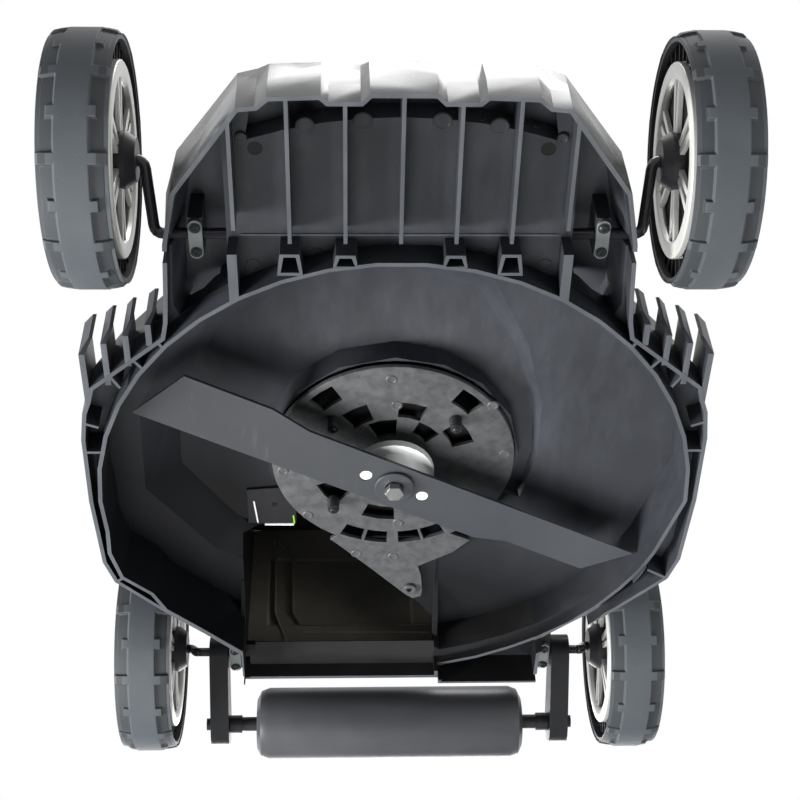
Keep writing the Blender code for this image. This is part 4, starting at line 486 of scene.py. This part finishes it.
def finish(kind):
    """The shared material of one finish, made once."""
    if kind in FINISHES:
        return FINISHES[kind]
    tint = bpy.context.scene.mower_colours
    makers = {
        "deck": lambda: deck_finish("deck_plastic", tint.deck),
        # the nose's outer faces: the glossier finish is real, its lighter colour is a painted sheen
        "skin": lambda: moulded("outer_skin_painted_sheen", (0.060, 0.062, 0.066), 0.24, 0.00002, 0.03, 1.0),
        # darker rubber on the tread's recess floors: painted shade
        "groove_shade": lambda: rubber("tread_groove_painted_shade", tinted(tint.rubber, 0.45)),
        "roller": lambda: moulded("roller_plastic", (0.042, 0.043, 0.047), 0.34, 0.00002, 0.02, 0.5),
        "hood": lambda: moulded("hood_plastic", (0.018, 0.019, 0.021), 0.34, 0.00002, 0.1, 0.5),
        "black": lambda: moulded("black_plastic", (0.014, 0.014, 0.016), 0.45),
        "flap": lambda: moulded("flap_plastic", (0.022, 0.022, 0.022), 0.40, 0.00004, 0.3, 0.5),
        # much lighter flap plastic for the face inside the tunnel: painted light
        "flap_inner_painted_light": lambda: moulded("flap_painted_light", (0.200, 0.188, 0.155), 0.50, 0.00004, 0.2),
        "plate": lambda: cast("plate_alloy", (0.062, 0.064, 0.066), 0.15),
        # lighter plastic on the deck's low downward faces and on the front lip: painted light
        "lightened": lambda: moulded("underface_painted_light", (0.058, 0.063, 0.070), 0.40),
        # near-black: painted shade at the tunnel's mouth, in holes, in cross recesses and behind wheel
        # spokes; the motor can takes it too
        "dark": lambda: moulded("near_black_and_painted_shade", (0.0035, 0.0035, 0.0040), 0.60),
        "rubber": lambda: rubber("tyre_rubber", tint.rubber),
        "foam": lambda: rubber("grip_foam", (0.020, 0.020, 0.022)),
        "silver": lambda: lacquer("silver_trim", tint.silver, 0.30, 0.35),
        "rod": lambda: lacquer("painted_rod", (0.012, 0.012, 0.014), 0.09),
        "blade": lambda: lacquer("blade_paint", tint.blade, 0.44, 0.0, 0.00006),
        "zinc": lambda: lacquer("zinc_steel", (0.48, 0.48, 0.47), 0.30, 1.0),
        "clamp": lambda: lacquer("clamp_plate", (0.150, 0.168, 0.160), 0.36, 0.45),
        "bolt": lambda: lacquer("dark_bolt", (0.050, 0.052, 0.055), 0.24, 0.6),
        "white": lambda: lacquer("white_plastic", (0.84, 0.86, 0.84), 0.38),
        "accent": lambda: lacquer("accent_plastic", tint.accent, 0.32),
        "red": lambda: lacquer("red_plastic", (0.50, 0.03, 0.02), 0.35),
        "tube": lambda: lacquer("tube_coat", (0.018, 0.018, 0.020), 0.35, 0.0, 0.00004),
    }
    FINISHES[kind] = makers[kind]()
    return FINISHES[kind]


# Making pieces
def settle(bm, name, kind, body, nodes=(), smooth=32.0, bevel=0.0):
    """Turn a bmesh into a piece that rides on a body and may stand for CAD nodes."""
    bmesh.ops.recalc_face_normals(bm, faces=bm.faces)
    mesh = bpy.data.meshes.new(name)
    bm.to_mesh(mesh)
    bm.free()
    mesh.shade_smooth()
    mesh.set_sharp_from_angle(angle=radians(smooth))
    mesh.materials.append(finish(kind))
    piece = bpy.data.objects.new(name, mesh)
    bpy.context.scene.collection.objects.link(piece)
    if bevel:
        add_bevel(piece, bevel)
    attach(piece, body)
    if nodes:
        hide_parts(*nodes)
    return piece


def add_bevel(piece, width, angle=32.0):
    soft = piece.modifiers.new("soft_edges", "BEVEL")
    soft.width = width
    soft.segments = 2
    soft.limit_method = "ANGLE"
    soft.angle_limit = radians(angle)
    soft.harden_normals = True


def slab(bm, outline, low, high):
    """A flat plate over an outline of (x, y) points written from the front wheel axis."""
    verts = [bm.verts.new(at(x, y, low)) for x, y in outline]
    grown = bmesh.ops.extrude_face_region(bm, geom=[bm.faces.new(verts)])["geom"]
    moved = [item for item in grown if isinstance(item, bmesh.types.BMVert)]
    bmesh.ops.translate(bm, vec=(0.0, 0.0, high - low), verts=moved)
    return bm


def wall_slab(bm, outline, left, right):
    """An upright plate across X over an outline of (y, z) points."""
    verts = [bm.verts.new(at(left, y, z)) for y, z in outline]
    grown = bmesh.ops.extrude_face_region(bm, geom=[bm.faces.new(verts)])["geom"]
    moved = [item for item in grown if isinstance(item, bmesh.types.BMVert)]
    bmesh.ops.translate(bm, vec=(right - left, 0.0, 0.0), verts=moved)
    return bm


def button(bm, x, y, z, radius, height):
    """A shallow raised disc with a softened rim, standing down from a ceiling."""
    rim = min(0.0008, radius * 0.2)
    profile = [(0.0012, 0.0), (0.0012, radius), (-height + rim, radius), (-height, radius - rim),
               (-height, radius - 2.4 * rim), (-height + rim * 0.5, radius - 3.2 * rim),
               (-height + rim * 0.5, 0.0)]
    return turned(bm, profile, at(x, y, z), UP, 28)


def screw(bm, marks, centre, radius, turn):
    """A domed screw head on its washer, facing down, and a near-black cross on it, painted shade for the
    cross recess.
    """
    dome = [(-0.0010, 0.0), (-0.0010, radius * 1.25), (0.0006, radius * 1.25), (0.0006, radius),
            (0.0012, radius), (0.0020, radius * 0.82), (0.0026, radius * 0.45), (0.0027, 0.0)]
    turned(bm, dome, centre, DOWN, 24)
    flip = Vector(UP).rotation_difference(Vector(DOWN)).to_matrix()
    place = Matrix.Translation(Vector(centre) + Vector(DOWN) * 0.0021)
    for angle in (turn, turn + pi / 2):
        spun = (flip @ Matrix.Rotation(angle, 3, "Z")).to_4x4()
        block(marks, (radius * 1.1, radius * 0.26, 0.0016), place @ spun)


def block(bm, size, placing):
    """A box of a size, carried to its place by a matrix."""
    verts = bmesh.ops.create_cube(bm, size=1.0)["verts"]
    bmesh.ops.scale(bm, vec=size, verts=verts)
    bmesh.ops.transform(bm, matrix=placing, verts=verts)


def carve(piece, cutter):
    """Take closed shapes away from a piece and keep the result as its mesh."""
    bmesh.ops.recalc_face_normals(cutter, faces=cutter.faces)
    mesh = bpy.data.meshes.new("cutter")
    cutter.to_mesh(mesh)
    cutter.free()
    tool = bpy.data.objects.new("cutter", mesh)
    bpy.context.scene.collection.objects.link(tool)
    cut = piece.modifiers.new("cut", "BOOLEAN")
    cut.operation = "DIFFERENCE"
    cut.solver = "EXACT"
    cut.object = tool
    bpy.context.view_layer.update()
    held = piece.evaluated_get(bpy.context.evaluated_depsgraph_get())
    carved = bpy.data.meshes.new_from_object(held)
    piece.modifiers.remove(cut)
    piece.data = carved
    bpy.data.objects.remove(tool)
    carved.shade_smooth()
    carved.set_sharp_from_angle(angle=radians(32.0))


def from_node(node):
    """A merged copy of a CAD node's mesh, ready to be refined."""
    bm = bmesh.new()
    bm.from_mesh(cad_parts[node].data)
    bmesh.ops.remove_doubles(bm, verts=bm.verts, dist=2e-6)
    flat = radians(0.6)
    bmesh.ops.dissolve_limit(bm, angle_limit=flat, verts=bm.verts, edges=bm.edges)
    return bm


def refined(node, name, kind, body, bevel=0.0006, smooth=32.0):
    return settle(from_node(node), name, kind, body, (node,), smooth, bevel)


def turned(bm, profile, centre, axis, steps=64):
    """Spin a closed profile of (along, radius) points round an axis through a centre."""
    centre = Vector(centre)
    axis = Vector(axis)
    out = Vector((0.0, 0.0, 1.0)) if abs(axis.z) < 0.5 else Vector((1.0, 0.0, 0.0))
    verts = [bm.verts.new(centre + axis * along + out * radius) for along, radius in profile]
    edges = [bm.edges.new((a, b)) for a, b in zip(verts, verts[1:] + verts[:1])]
    bmesh.ops.spin(bm, geom=verts + edges, cent=centre, axis=axis, angle=2 * pi, steps=steps, use_merge=True)
    bmesh.ops.remove_doubles(bm, verts=bm.verts, dist=1e-6)
    return bm


def wire(name, points, radius, kind, body, sides):
    """A round rod along points, as a curve with closed ends."""
    curve = bpy.data.curves.new(name, "CURVE")
    curve.dimensions = "3D"
    curve.bevel_depth = radius
    curve.bevel_resolution = sides
    curve.use_fill_caps = True
    spline = curve.splines.new("POLY")
    spline.points.add(len(points) - 1)
    for target, point in zip(spline.points, points):
        target.co = (*point, 1.0)
    spline.use_smooth = True
    curve.materials.append(finish(kind))
    piece = bpy.data.objects.new(name, curve)
    bpy.context.scene.collection.objects.link(piece)
    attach(piece, body)


def wheel_place(where):
    """The side of a wheel, the middle of its axis at X zero and its radius."""
    low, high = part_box(f"tyre_{where}")
    side = 1 if "left" in where else -1
    return side, Vector((0.0, (low[1] + high[1]) / 2, (low[2] + high[2]) / 2)), (high[2] - low[2]) / 2


# Stage
class MOWER_OT_stage(bpy.types.Operator):
    """Camera, floor, lamps and world."""

    bl_idname = "mower.stage"
    bl_label = "Stage"

    def execute(self, context):
        self.camera(context)
        self.floor()
        self.lamps(context)
        self.world(context)
        return {"FINISHED"}

    def camera(self, context):
        yaw, pitch, roll = (radians(angle) for angle in EYE_ANGLES)
        ahead = Vector((sin(yaw) * cos(pitch), cos(yaw) * cos(pitch), sin(pitch)))
        right = Vector((cos(yaw), -sin(yaw), 0.0))
        above = right.cross(ahead)
        turned_right = right * cos(roll) + above * sin(roll)
        turned_above = above * cos(roll) - right * sin(roll)
        data = bpy.data.cameras.new("camera")
        data.sensor_width = SENSOR
        data.lens = FOCAL_PIXELS / PICTURE_PIXELS * SENSOR
        data.clip_start = 0.05
        eye = bpy.data.objects.new("camera", data)
        basis = Matrix((turned_right, turned_above, -ahead)).transposed().to_4x4()
        eye.matrix_world = Matrix.Translation(at(*EYE)) @ basis
        context.scene.collection.objects.link(eye)
        context.scene.camera = eye

    def floor(self):
        """A pale floor that shows from above only, so that it never hides the underside."""
        recipe = Recipe("pale_floor")
        geometry = recipe.node("ShaderNodeNewGeometry")
        path = recipe.node("ShaderNodeLightPath")
        clear = recipe.node("ShaderNodeBsdfTransparent")
        recipe.set(Base_Color=(0.82, 0.82, 0.82), Roughness=0.6)
        across, along = recipe.apart()[:2]
        far = (FLOOR_GLOW + (across * across + along * along) * FLOOR_GLOW_GROWTH).capped(1.0)
        seen = Flow(recipe, path.outputs["Is Camera Ray"])
        bright = recipe.node("ShaderNodeEmission", None, {"Color": (1.0, 1.0, 1.0), "Strength": 1.0})
        lit = recipe.node("ShaderNodeMixShader", None, {0: far * seen})
        recipe.tree.links.new(recipe.shader.outputs[0], lit.inputs[1])
        recipe.tree.links.new(bright.outputs[0], lit.inputs[2])
        back = Flow(recipe, geometry.outputs["Backfacing"])
        shadow = Flow(recipe, path.outputs["Is Shadow Ray"])
        mix = recipe.node("ShaderNodeMixShader", None, {0: (back + shadow).capped(1.0)})
        recipe.tree.links.new(lit.outputs[0], mix.inputs[1])
        recipe.tree.links.new(clear.outputs[0], mix.inputs[2])
        recipe.tree.links.new(mix.outputs[0], recipe.output.inputs[0])
        bm = bmesh.new()
        bmesh.ops.create_grid(bm, x_segments=1, y_segments=1, size=FLOOR_SIZE)
        mesh = bpy.data.meshes.new("floor")
        bm.to_mesh(mesh)
        bm.free()
        mesh.materials.append(recipe.material)
        floor = bpy.data.objects.new("floor", mesh)
        bpy.context.scene.collection.objects.link(floor)

    def lamps(self, context):
        for name, place, target, size, power in LAMPS:
            data = bpy.data.lights.new(name, "AREA")
            data.shape = "DISK"
            data.size = size
            data.energy = power
            lamp = bpy.data.objects.new(name, data)
            lamp.location = at(*place)
            lamp.rotation_euler = (at(*target) - at(*place)).to_track_quat("-Z", "Y").to_euler()
            context.scene.collection.objects.link(lamp)

    def world(self, context):
        """White where it is seen or mirrored, softer as a light."""
        world = bpy.data.worlds.new("studio")
        world.use_nodes = True
        context.scene.world = world
        tree = world.node_tree
        path = tree.nodes.new("ShaderNodeLightPath")
        sheet = tree.nodes.new("ShaderNodeBackground")
        sheet.inputs[0].default_value = (1.0, 1.0, 1.0, 1.0)
        glow = tree.nodes["Background"]
        glow.inputs[0].default_value = SKY
        glow.inputs[1].default_value = SKY_STRENGTH
        seen = tree.nodes.new("ShaderNodeMath")
        seen.operation = "ADD"
        seen.use_clamp = True
        tree.links.new(path.outputs["Is Camera Ray"], seen.inputs[0])
        both = tree.nodes.new("ShaderNodeMath")
        both.operation = "ADD"
        tree.links.new(path.outputs["Is Glossy Ray"], both.inputs[0])
        tree.links.new(path.outputs["Is Transmission Ray"], both.inputs[1])
        tree.links.new(both.outputs[0], seen.inputs[1])
        mix = tree.nodes.new("ShaderNodeMixShader")
        tree.links.new(seen.outputs[0], mix.inputs[0])
        tree.links.new(glow.outputs[0], mix.inputs[1])
        tree.links.new(sheet.outputs[0], mix.inputs[2])
        tree.links.new(mix.outputs[0], tree.nodes["World Output"].inputs[0])
        context.scene.view_settings.view_transform = "Standard"


class MOWER_OT_plain(bpy.types.Operator):
    """Finishes on the pieces whose shape is right already."""

    bl_idname = "mower.plain"
    bl_label = "Plain pieces"

    def execute(self, context):
        for node, kind in PLAIN_NODES.items():
            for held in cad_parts[node].material_slots:
                held.material = finish(kind)
        return {"FINISHED"}


class MOWER_OT_deck(bpy.types.Operator):
    """The moulded deck, opened at the tunnel's mouth, with softened edges."""

    bl_idname = "mower.deck"
    bl_label = "Deck"

    def execute(self, context):
        deck = refined("deck", "deck_moulding", "deck", "chassis", 0.0, 30.0)
        carve(deck, slab(bmesh.new(), MOUTH_FRONT, *MOUTH_FRONT_HEIGHTS))
        cutter = slab(bmesh.new(), MOUTH, *MOUTH_HEIGHTS)
        for side in (-1, 1):
            turned(cutter, FRONT_HOLE_SHAPE, at(side * FRONT_HOLE_X, FRONT_HOLE_Y, FRONT_HOLE_Z), UP, 32)
        carve(deck, cutter)
        add_bevel(deck, context.scene.mower_sizes.edge_round)
        for kind in ("skin", "lightened", "dark"):
            deck.data.materials.append(finish(kind))
        self.paint(deck)
        self.marks()
        self.tail()
        self.bracket()
        return {"FINISHED"}

    def paint(self, deck):
        """Painted light and shade on the deck: a glossier nose whose lighter colour is a painted sheen,
        painted light on the low faces that face down and painted shade on the walls round the tunnel's
        mouth.
        """
        nose = at(0.0, NOSE_END, 0.0).y
        tail = at(0.0, TAIL_START, 0.0).y
        middle = at(0.0, DECK_MIDDLE, 0.0)
        for face in deck.data.polygons:
            out = (face.center - middle).xy.normalized()
            # painted sheen: lighter colour on the nose's outward faces
            if face.center.y < nose and face.normal.xy.dot(out) > FACES_OUT and face.normal.z > FACES_UNDER:
                face.material_index = SHEEN_SKIN
            # painted light: lighter colour on the low faces that face down
            if face.normal.z < FACES_DOWN and face.center.z < RIM_TOP:
                face.material_index = LIT_UNDERFACES
            # painted shade: near-black on the walls round the tunnel's mouth
            behind = face.center.y > tail and abs(face.center.x) < TAIL_HALF
            if behind and face.normal.y < FACES_BACK and FACES_DOWN < face.normal.z < FACES_UP:
                face.material_index = SILL_SHADE

    def marks(self):
        """Ejector discs, small bosses, near-black discs of painted shade just inside the two front holes,
        and the lip in the front compartment, whose lighter colour is a painted highlight.
        """
        bm = bmesh.new()
        for x, y, radius in FRONT_DISCS:
            for side in (-1, 1):
                button(bm, side * x, y, FRONT_CEILING, radius, DISC_HEIGHT)
        for side in (-1, 1):
            button(bm, side * FRONT_BOSS_X, FRONT_BOSS_Y, FRONT_CEILING, FRONT_BOSS_RADIUS,
                   FRONT_BOSS_HEIGHT)
        settle(bm, "front_marks", "deck", "chassis")
        bm = bmesh.new()
        # near-black discs just inside the front holes: painted shade
        for side in (-1, 1):
            turned(bm, HOLE_SHADE_DISC, at(side * FRONT_HOLE_X, FRONT_HOLE_Y, FRONT_CEILING + HOLE_SHADE_DEPTH), UP, 32)
        settle(bm, "front_hole_shade", "dark", "chassis")
        # the lip is real, its lighter colour is a painted highlight
        bm = slab(bmesh.new(), PLATE_LIP, *PLATE_LIP_HEIGHTS)
        settle(bm, "plate_lip", "lightened", "chassis", bevel=0.0004)

    def tail(self):
        """The ceiling beside the tunnel's mouth and the cast tail of the motor plate under it."""
        bm = slab(bmesh.new(), TAIL_CEILING, *MOUTH_CEILING_HEIGHTS)
        for near, far in MOUTH_CHEEKS_X:
            wall_slab(bm, MOUTH_CHEEK, near, far)
        settle(bm, "mouth_ceiling", "deck", "chassis", bevel=0.0004)
        bm = slab(bmesh.new(), TAIL, TAIL_LOW, TAIL_TOP)
        settle(bm, "cast_tail", "plate", "chassis", bevel=0.0006)
        bm = bmesh.new()
        for x, y in TAIL_DISCS:
            button(bm, x, y, TAIL_LOW, DISC_RADIUS, TAIL_DISC_HEIGHT)
        turned(bm, TAIL_BOSS, at(*TAIL_BOSS_PLACE, TAIL_LOW), UP, 32)
        settle(bm, "tail_boss", "plate", "chassis")

    def bracket(self):
        """The dark holder that shows beside the motor plate. White and green strips along its edges are
        painted light, the bright slit where light comes through a gap, and a near-black disc on it is
        painted shade for a hole.
        """
        bm = slab(bmesh.new(), HOLDER, *HOLDER_HEIGHTS)
        settle(bm, "tunnel_holder", "black", "chassis", bevel=0.0006)
        # near-black disc: painted shade for the holder's hole
        bm = turned(bmesh.new(), HOLDER_HOLE, at(*HOLDER_HOLE_PLACE), UP, 20)
        settle(bm, "holder_hole_shade", "dark", "chassis")
        # white and green strips: painted light of the bright slit at the holder's edges
        for name, kind, outline in (("holder_slit_light", "white", HOLDER_SLOT),
                                    ("holder_edge_light", "white", HOLDER_EDGE),
                                    ("holder_green_light", "accent", HOLDER_GREEN_LIGHT)):
            bm = slab(bmesh.new(), outline, *HOLDER_EDGE_HEIGHTS)
            settle(bm, name, kind, "chassis")


class MOWER_OT_bodywork(bpy.types.Operator):
    """Hood, handle, motor plate, flap and the small parts that only need softer edges."""

    bl_idname = "mower.bodywork"
    bl_label = "Bodywork"

    def execute(self, context):
        refined("top_cover", "hood", "hood", "chassis", 0.0008, 40.0)
        refined("carry_handle", "carry_bow", "black", "chassis", 0.0, 50.0)
        self.motor_plate()
        self.flap()
        for node, name, kind, body, slot, bevel, smooth in EDGED:
            refined(node, name, kind, body, bevel, smooth)
        self.washer()
        for side in ("left", "right"):
            for node, name, kind, body, slot, bevel in EDGED_PAIRS:
                refined(node.format(side), name.format(side), kind, body.format(side), bevel)
        return {"FINISHED"}

    def motor_plate(self):
        """The cast plate under the motor: a rimmed disc with wedge-shaped windows."""
        disc = turned(bmesh.new(), PLATE_EDGE, AXIS + Vector((0.0, 0.0, PLATE_LOW)), UP, 96)
        plate = settle(disc, "vented_plate", "plate", "chassis", ("motor_plate",))
        cutter = bmesh.new()
        for radius, angle, deep, wide in VENTS:
            corners = []
            for out, turns in ((radius - deep, (-1, 0, 1)), (radius + deep, (1, 0, -1))):
                for turn in turns:
                    way = radians(angle + turn * wide)
                    corners.append((out * cos(way), out * sin(way) + MOTOR_Y - FRONT_Y))
            slab(cutter, corners, PLATE_LOW - CUT_OVER, PLATE_LOW + PLATE_THICK + CUT_OVER)
        carve(plate, cutter)

    def flap(self):
        """The discharge flap; its face that looks into the tunnel takes a much lighter copy of the flap
        plastic, painted light on that shaded face.
        """
        flap = refined("rear_flap", "flap", "flap", "rear_flap", 0.0006)
        flap.data.materials.append(finish("flap_inner_painted_light"))
        for face in flap.data.polygons:
            # painted light: the lighter copy on the face inside the tunnel
            if face.normal.y < -FACES_BACK:
                face.material_index = 1

    def washer(self):
        """The round washer between the blade and its bolt."""
        low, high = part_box("blade_washer")
        thick = high[2] - low[2]
        ring = [(0.0, WASHER_BORE), (0.0, WASHER_FACE), (WASHER_ROUND, WASHER_RADIUS),
                (thick, WASHER_RADIUS), (thick, WASHER_BORE)]
        bm = turned(bmesh.new(), ring, AXIS + Vector((0.0, 0.0, low[2])), UP)
        settle(bm, "washer", "blade", "rotor", ("blade_washer",))


class MOWER_OT_tyres(bpy.types.Operator):
    """Tyres with a smooth middle band and recesses along both edges, the recess floors in a darker rubber
    that is painted shade.
    """

    bl_idname = "mower.tyres"
    bl_label = "Tyres"

    def execute(self, context):
        for where in CORNERS:
            self.tyre(context.scene.mower_sizes, where)
        return {"FINISHED"}

    def tyre(self, sizes, where):
        side, axle, radius = wheel_place(where)
        half = TYRE_WIDTH / 2
        middle = side * (TYRE_INNER_X + half)
        steps = sizes.tread_blocks * 4
        outer = [(along, radius - drop) for along, drop in TREAD_EDGE] + [(half, radius - TREAD_THICK)]
        profile = [(-along, out) for along, out in reversed(outer[1:])] + outer
        profile += [(half - TREAD_LIP, radius - TREAD_THICK), (TREAD_LIP - half, radius - TREAD_THICK)]
        bm = turned(bmesh.new(), profile, (middle, axle.y, axle.z), ACROSS, steps)
        bmesh.ops.recalc_face_normals(bm, faces=bm.faces)
        recess = [face for face in bm.faces if self.in_recess(face, middle, axle, radius, steps)]
        bmesh.ops.inset_region(bm, faces=recess, thickness=RECESS_BORDER, depth=-sizes.tread_depth,
                               use_boundary=True, use_even_offset=True)
        floor = radius - sizes.tread_depth * GROOVE_SHARE
        # painted shade: darker rubber on the recess floors
        for face in bm.faces:
            spot = face.calc_center_median()
            spoke = Vector((0.0, spot.y - axle.y, spot.z - axle.z))
            low = spoke.length < floor and abs(spot.x - middle) < half - GROOVE_EDGE
            if low and face.normal.dot(spoke) > 0.0:
                face.material_index = 1
        tread = settle(bm, f"tread_{where}", "rubber", f"wheel_{where}",
                       (f"tyre_{where}",), 28.0, 0.0009)
        tread.data.materials.append(finish("groove_shade"))

    def in_recess(self, face, middle, axle, radius, steps):
        """True for a face of the tread's edge, but for the bars between the recesses."""
        spot = face.calc_center_median()
        along = abs(spot.x - middle)
        turn = int(atan2(spot.z - axle.z, spot.y - axle.y) / (2 * pi) * steps % steps)
        out = Vector((0.0, spot.y - axle.y, spot.z - axle.z)).length
        on_edge = out > radius - RECESS_REACH and RECESS_INNER < along < TYRE_WIDTH / 2 - RECESS_END
        half_bar = turn // 4 % 2 == 0 and along > RECESS_STEP
        return on_edge and (turn % 4 != 3 or half_bar)


class MOWER_OT_wheels(bpy.types.Operator):
    """Plastic wheels with radial ribs, silver spoked trims and hub caps."""

    bl_idname = "mower.wheels"
    bl_label = "Wheels"

    def execute(self, context):
        for where in CORNERS:
            body = f"wheel_{where}"
            refined(f"wheel_{where}", f"rim_{where}", "black", body, 0.0005)
            refined(f"trim_{where}", f"spokes_{where}", "silver", body, 0.0006)
            refined(f"hub_cap_{where}", f"cap_{where}", "silver", body, 0.0006)
            self.ribs(context.scene.mower_sizes.rim_ribs, where)
            self.inner_trim(where)
        return {"FINISHED"}

    def ribs(self, count, where):
        """Radial ribs between the tyre and the trim."""
        side, centre, _ = wheel_place(where)
        shift = Matrix.Translation((side * (RIB_NEAR + RIB_FAR) / 2, 0.0, RIB_OUT))
        bm = bmesh.new()
        for i in range(count):
            turn = Matrix.Rotation(2 * pi * (i + 0.5) / count, 4, "X")
            block(bm, (RIB_FAR - RIB_NEAR, RIB_THICK, RIB_LONG), Matrix.Translation(centre) @ turn @ shift)
        settle(bm, f"rim_ribs_{where}", "black", f"wheel_{where}")

    def inner_trim(self, where):
        """The ring and split spokes on the side that faces the deck, and a near-black web behind them,
        painted shade between the spokes.
        """
        side, centre, _ = wheel_place(where)
        centre.x = side * TRIM_X
        bm = turned(bmesh.new(), [(side * along, out) for along, out in TRIM_RING], centre, ACROSS, 72)
        for i in range(SPOKES):
            turn = Matrix.Translation(centre) @ Matrix.Rotation(i * 2 * pi / SPOKES, 4, "X")
            for edge in (-1, 1):
                tilt = Matrix.Rotation(radians(-edge * SPOKE_TILT), 4, "X")
                shift = Matrix.Translation((side * SPOKE_SHIFT, edge * SPOKE_SPLIT, SPOKE_OUT))
                block(bm, SPOKE, turn @ shift @ tilt)
        settle(bm, f"inner_trim_{where}", "silver", f"wheel_{where}", bevel=0.0007)
        # near-black web behind the spokes: painted shade
        bm = turned(bmesh.new(), [(side * along, out) for along, out in WEB_OF_SHADE], centre, ACROSS, 72)
        settle(bm, f"inner_shade_web_{where}", "dark", f"wheel_{where}")


class MOWER_OT_fittings(bpy.types.Operator):
    """Screws on the clamps and the motor plate, lugs in the blade, ribs and lines on the flap."""

    bl_idname = "mower.fittings"
    bl_label = "Fittings"

    def execute(self, context):
        self.clamp_screws()
        self.plate_marks()
        self.blade_lugs()
        self.flap_frames()
        self.flap_ribs()
        return {"FINISHED"}

    def clamp_screws(self):
        heads, marks = bmesh.new(), bmesh.new()
        for node in ("front_clamp_left", "front_clamp_right", "rear_clamp_left", "rear_clamp_right"):
            low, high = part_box(node)
            middle = (low[0] + high[0]) / 2
            for place, y in enumerate((low[1] + CLAMP_SCREW_INSET, high[1] - CLAMP_SCREW_INSET)):
                turn = CLAMP_SCREW_TURN + place * CLAMP_SCREW_TURN_STEP
                screw(heads, marks, (middle, y, low[2]), CLAMP_SCREW, turn)
        settle(heads, "clamp_screws", "bolt", "chassis", smooth=40.0)
        # near-black crosses: painted shade for the cross recesses
        settle(marks, "clamp_cross_shade", "dark", "chassis")

    def plate_marks(self):
        """Ejector discs on the motor plate and the screws on its studs."""
        bm = bmesh.new()
        for x, y in PLATE_DISCS:
            button(bm, x, y, PLATE_LOW, DISC_RADIUS, DISC_HEIGHT)
        settle(bm, "plate_discs", "plate", "chassis")
        heads, marks = bmesh.new(), bmesh.new()
        for x in STUD_X:
            for y in STUD_Y:
                turned(heads, STUD, at(x, y, PLATE_LOW), UP, 32)
                screw(heads, marks, at(x, y, STUD_TIP), PLATE_SCREW, x * PLATE_SCREW_TURN)
        settle(heads, "plate_screws", "bolt", "chassis", smooth=40.0)
        # near-black crosses: painted shade for the cross recesses
        settle(marks, "plate_cross_shade", "dark", "chassis")

    def blade_lugs(self):
        """Two white lugs of the spacer that stand in the blade's holes."""
        bm = bmesh.new()
        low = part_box("blade")[0][2]
        for x, y in BLADE_HOLES:
            turned(bm, LUG, at(x, y, low + LUG_SINK), UP, 32)
        settle(bm, "spacer_lugs", "white", "rotor", smooth=40.0)

    def flap_frames(self):
        """Raised lines on the inner face of the flap, in its lighter colour of painted light."""
        front = at(0.0, FLAP_FRONT, 0.0).y
        for name, radius, corners in FLAP_LINES:
            points = [Vector((x, front, z)) for x, z in corners]
            # painted light: the lines take the flap's lighter inner colour
            wire(name, points, radius, "flap_inner_painted_light", "rear_flap", 4)

    def flap_ribs(self):
        """Upright ribs and a finger ledge on the outside of the flap."""
        bm = bmesh.new()
        for i in range(FLAP_RIBS):
            x = FLAP_MIDDLE + (i - FLAP_RIBS // 2) * FLAP_RIB_STEP
            left, right = x - FLAP_RIB_HALF, x + FLAP_RIB_HALF
            back = FLAP_BACK + FLAP_RIB_DEEP
            outline = [(left, FLAP_BACK), (right, FLAP_BACK), (right, back), (left, back)]
            slab(bm, outline, *FLAP_RIB_HEIGHTS)
        slab(bm, FLAP_LEDGE, *FLAP_LEDGE_HEIGHTS)
        settle(bm, "flap_ribs", "flap", "rear_flap", bevel=0.0005)


class MOWER_PT_panel(bpy.types.Panel):
    bl_label = "Mower"
    bl_idname = "MOWER_PT_panel"
    bl_space_type = "VIEW_3D"
    bl_region_type = "UI"
    bl_category = "Mower"

    def draw(self, context):
        for operator in OPERATORS:
            self.layout.operator(operator.bl_idname)


OPERATORS = (MOWER_OT_stage, MOWER_OT_plain, MOWER_OT_deck, MOWER_OT_bodywork, MOWER_OT_tyres,
             MOWER_OT_wheels, MOWER_OT_fittings)
CLASSES = (MowerSizes, MowerColours, *OPERATORS, MOWER_PT_panel)


def register():
    for item in CLASSES:
        bpy.utils.register_class(item)
    bpy.types.Scene.mower_sizes = PointerProperty(type=MowerSizes)
    bpy.types.Scene.mower_colours = PointerProperty(type=MowerColours)


def unregister():
    del bpy.types.Scene.mower_colours
    del bpy.types.Scene.mower_sizes
    for item in reversed(CLASSES):
        bpy.utils.unregister_class(item)


def main():
    register()
    bpy.ops.mower.stage()
    bpy.ops.mower.plain()
    bpy.ops.mower.deck()
    bpy.ops.mower.bodywork()
    bpy.ops.mower.tyres()
    bpy.ops.mower.wheels()
    bpy.ops.mower.fittings()


if __name__ == "__main__":
    main()
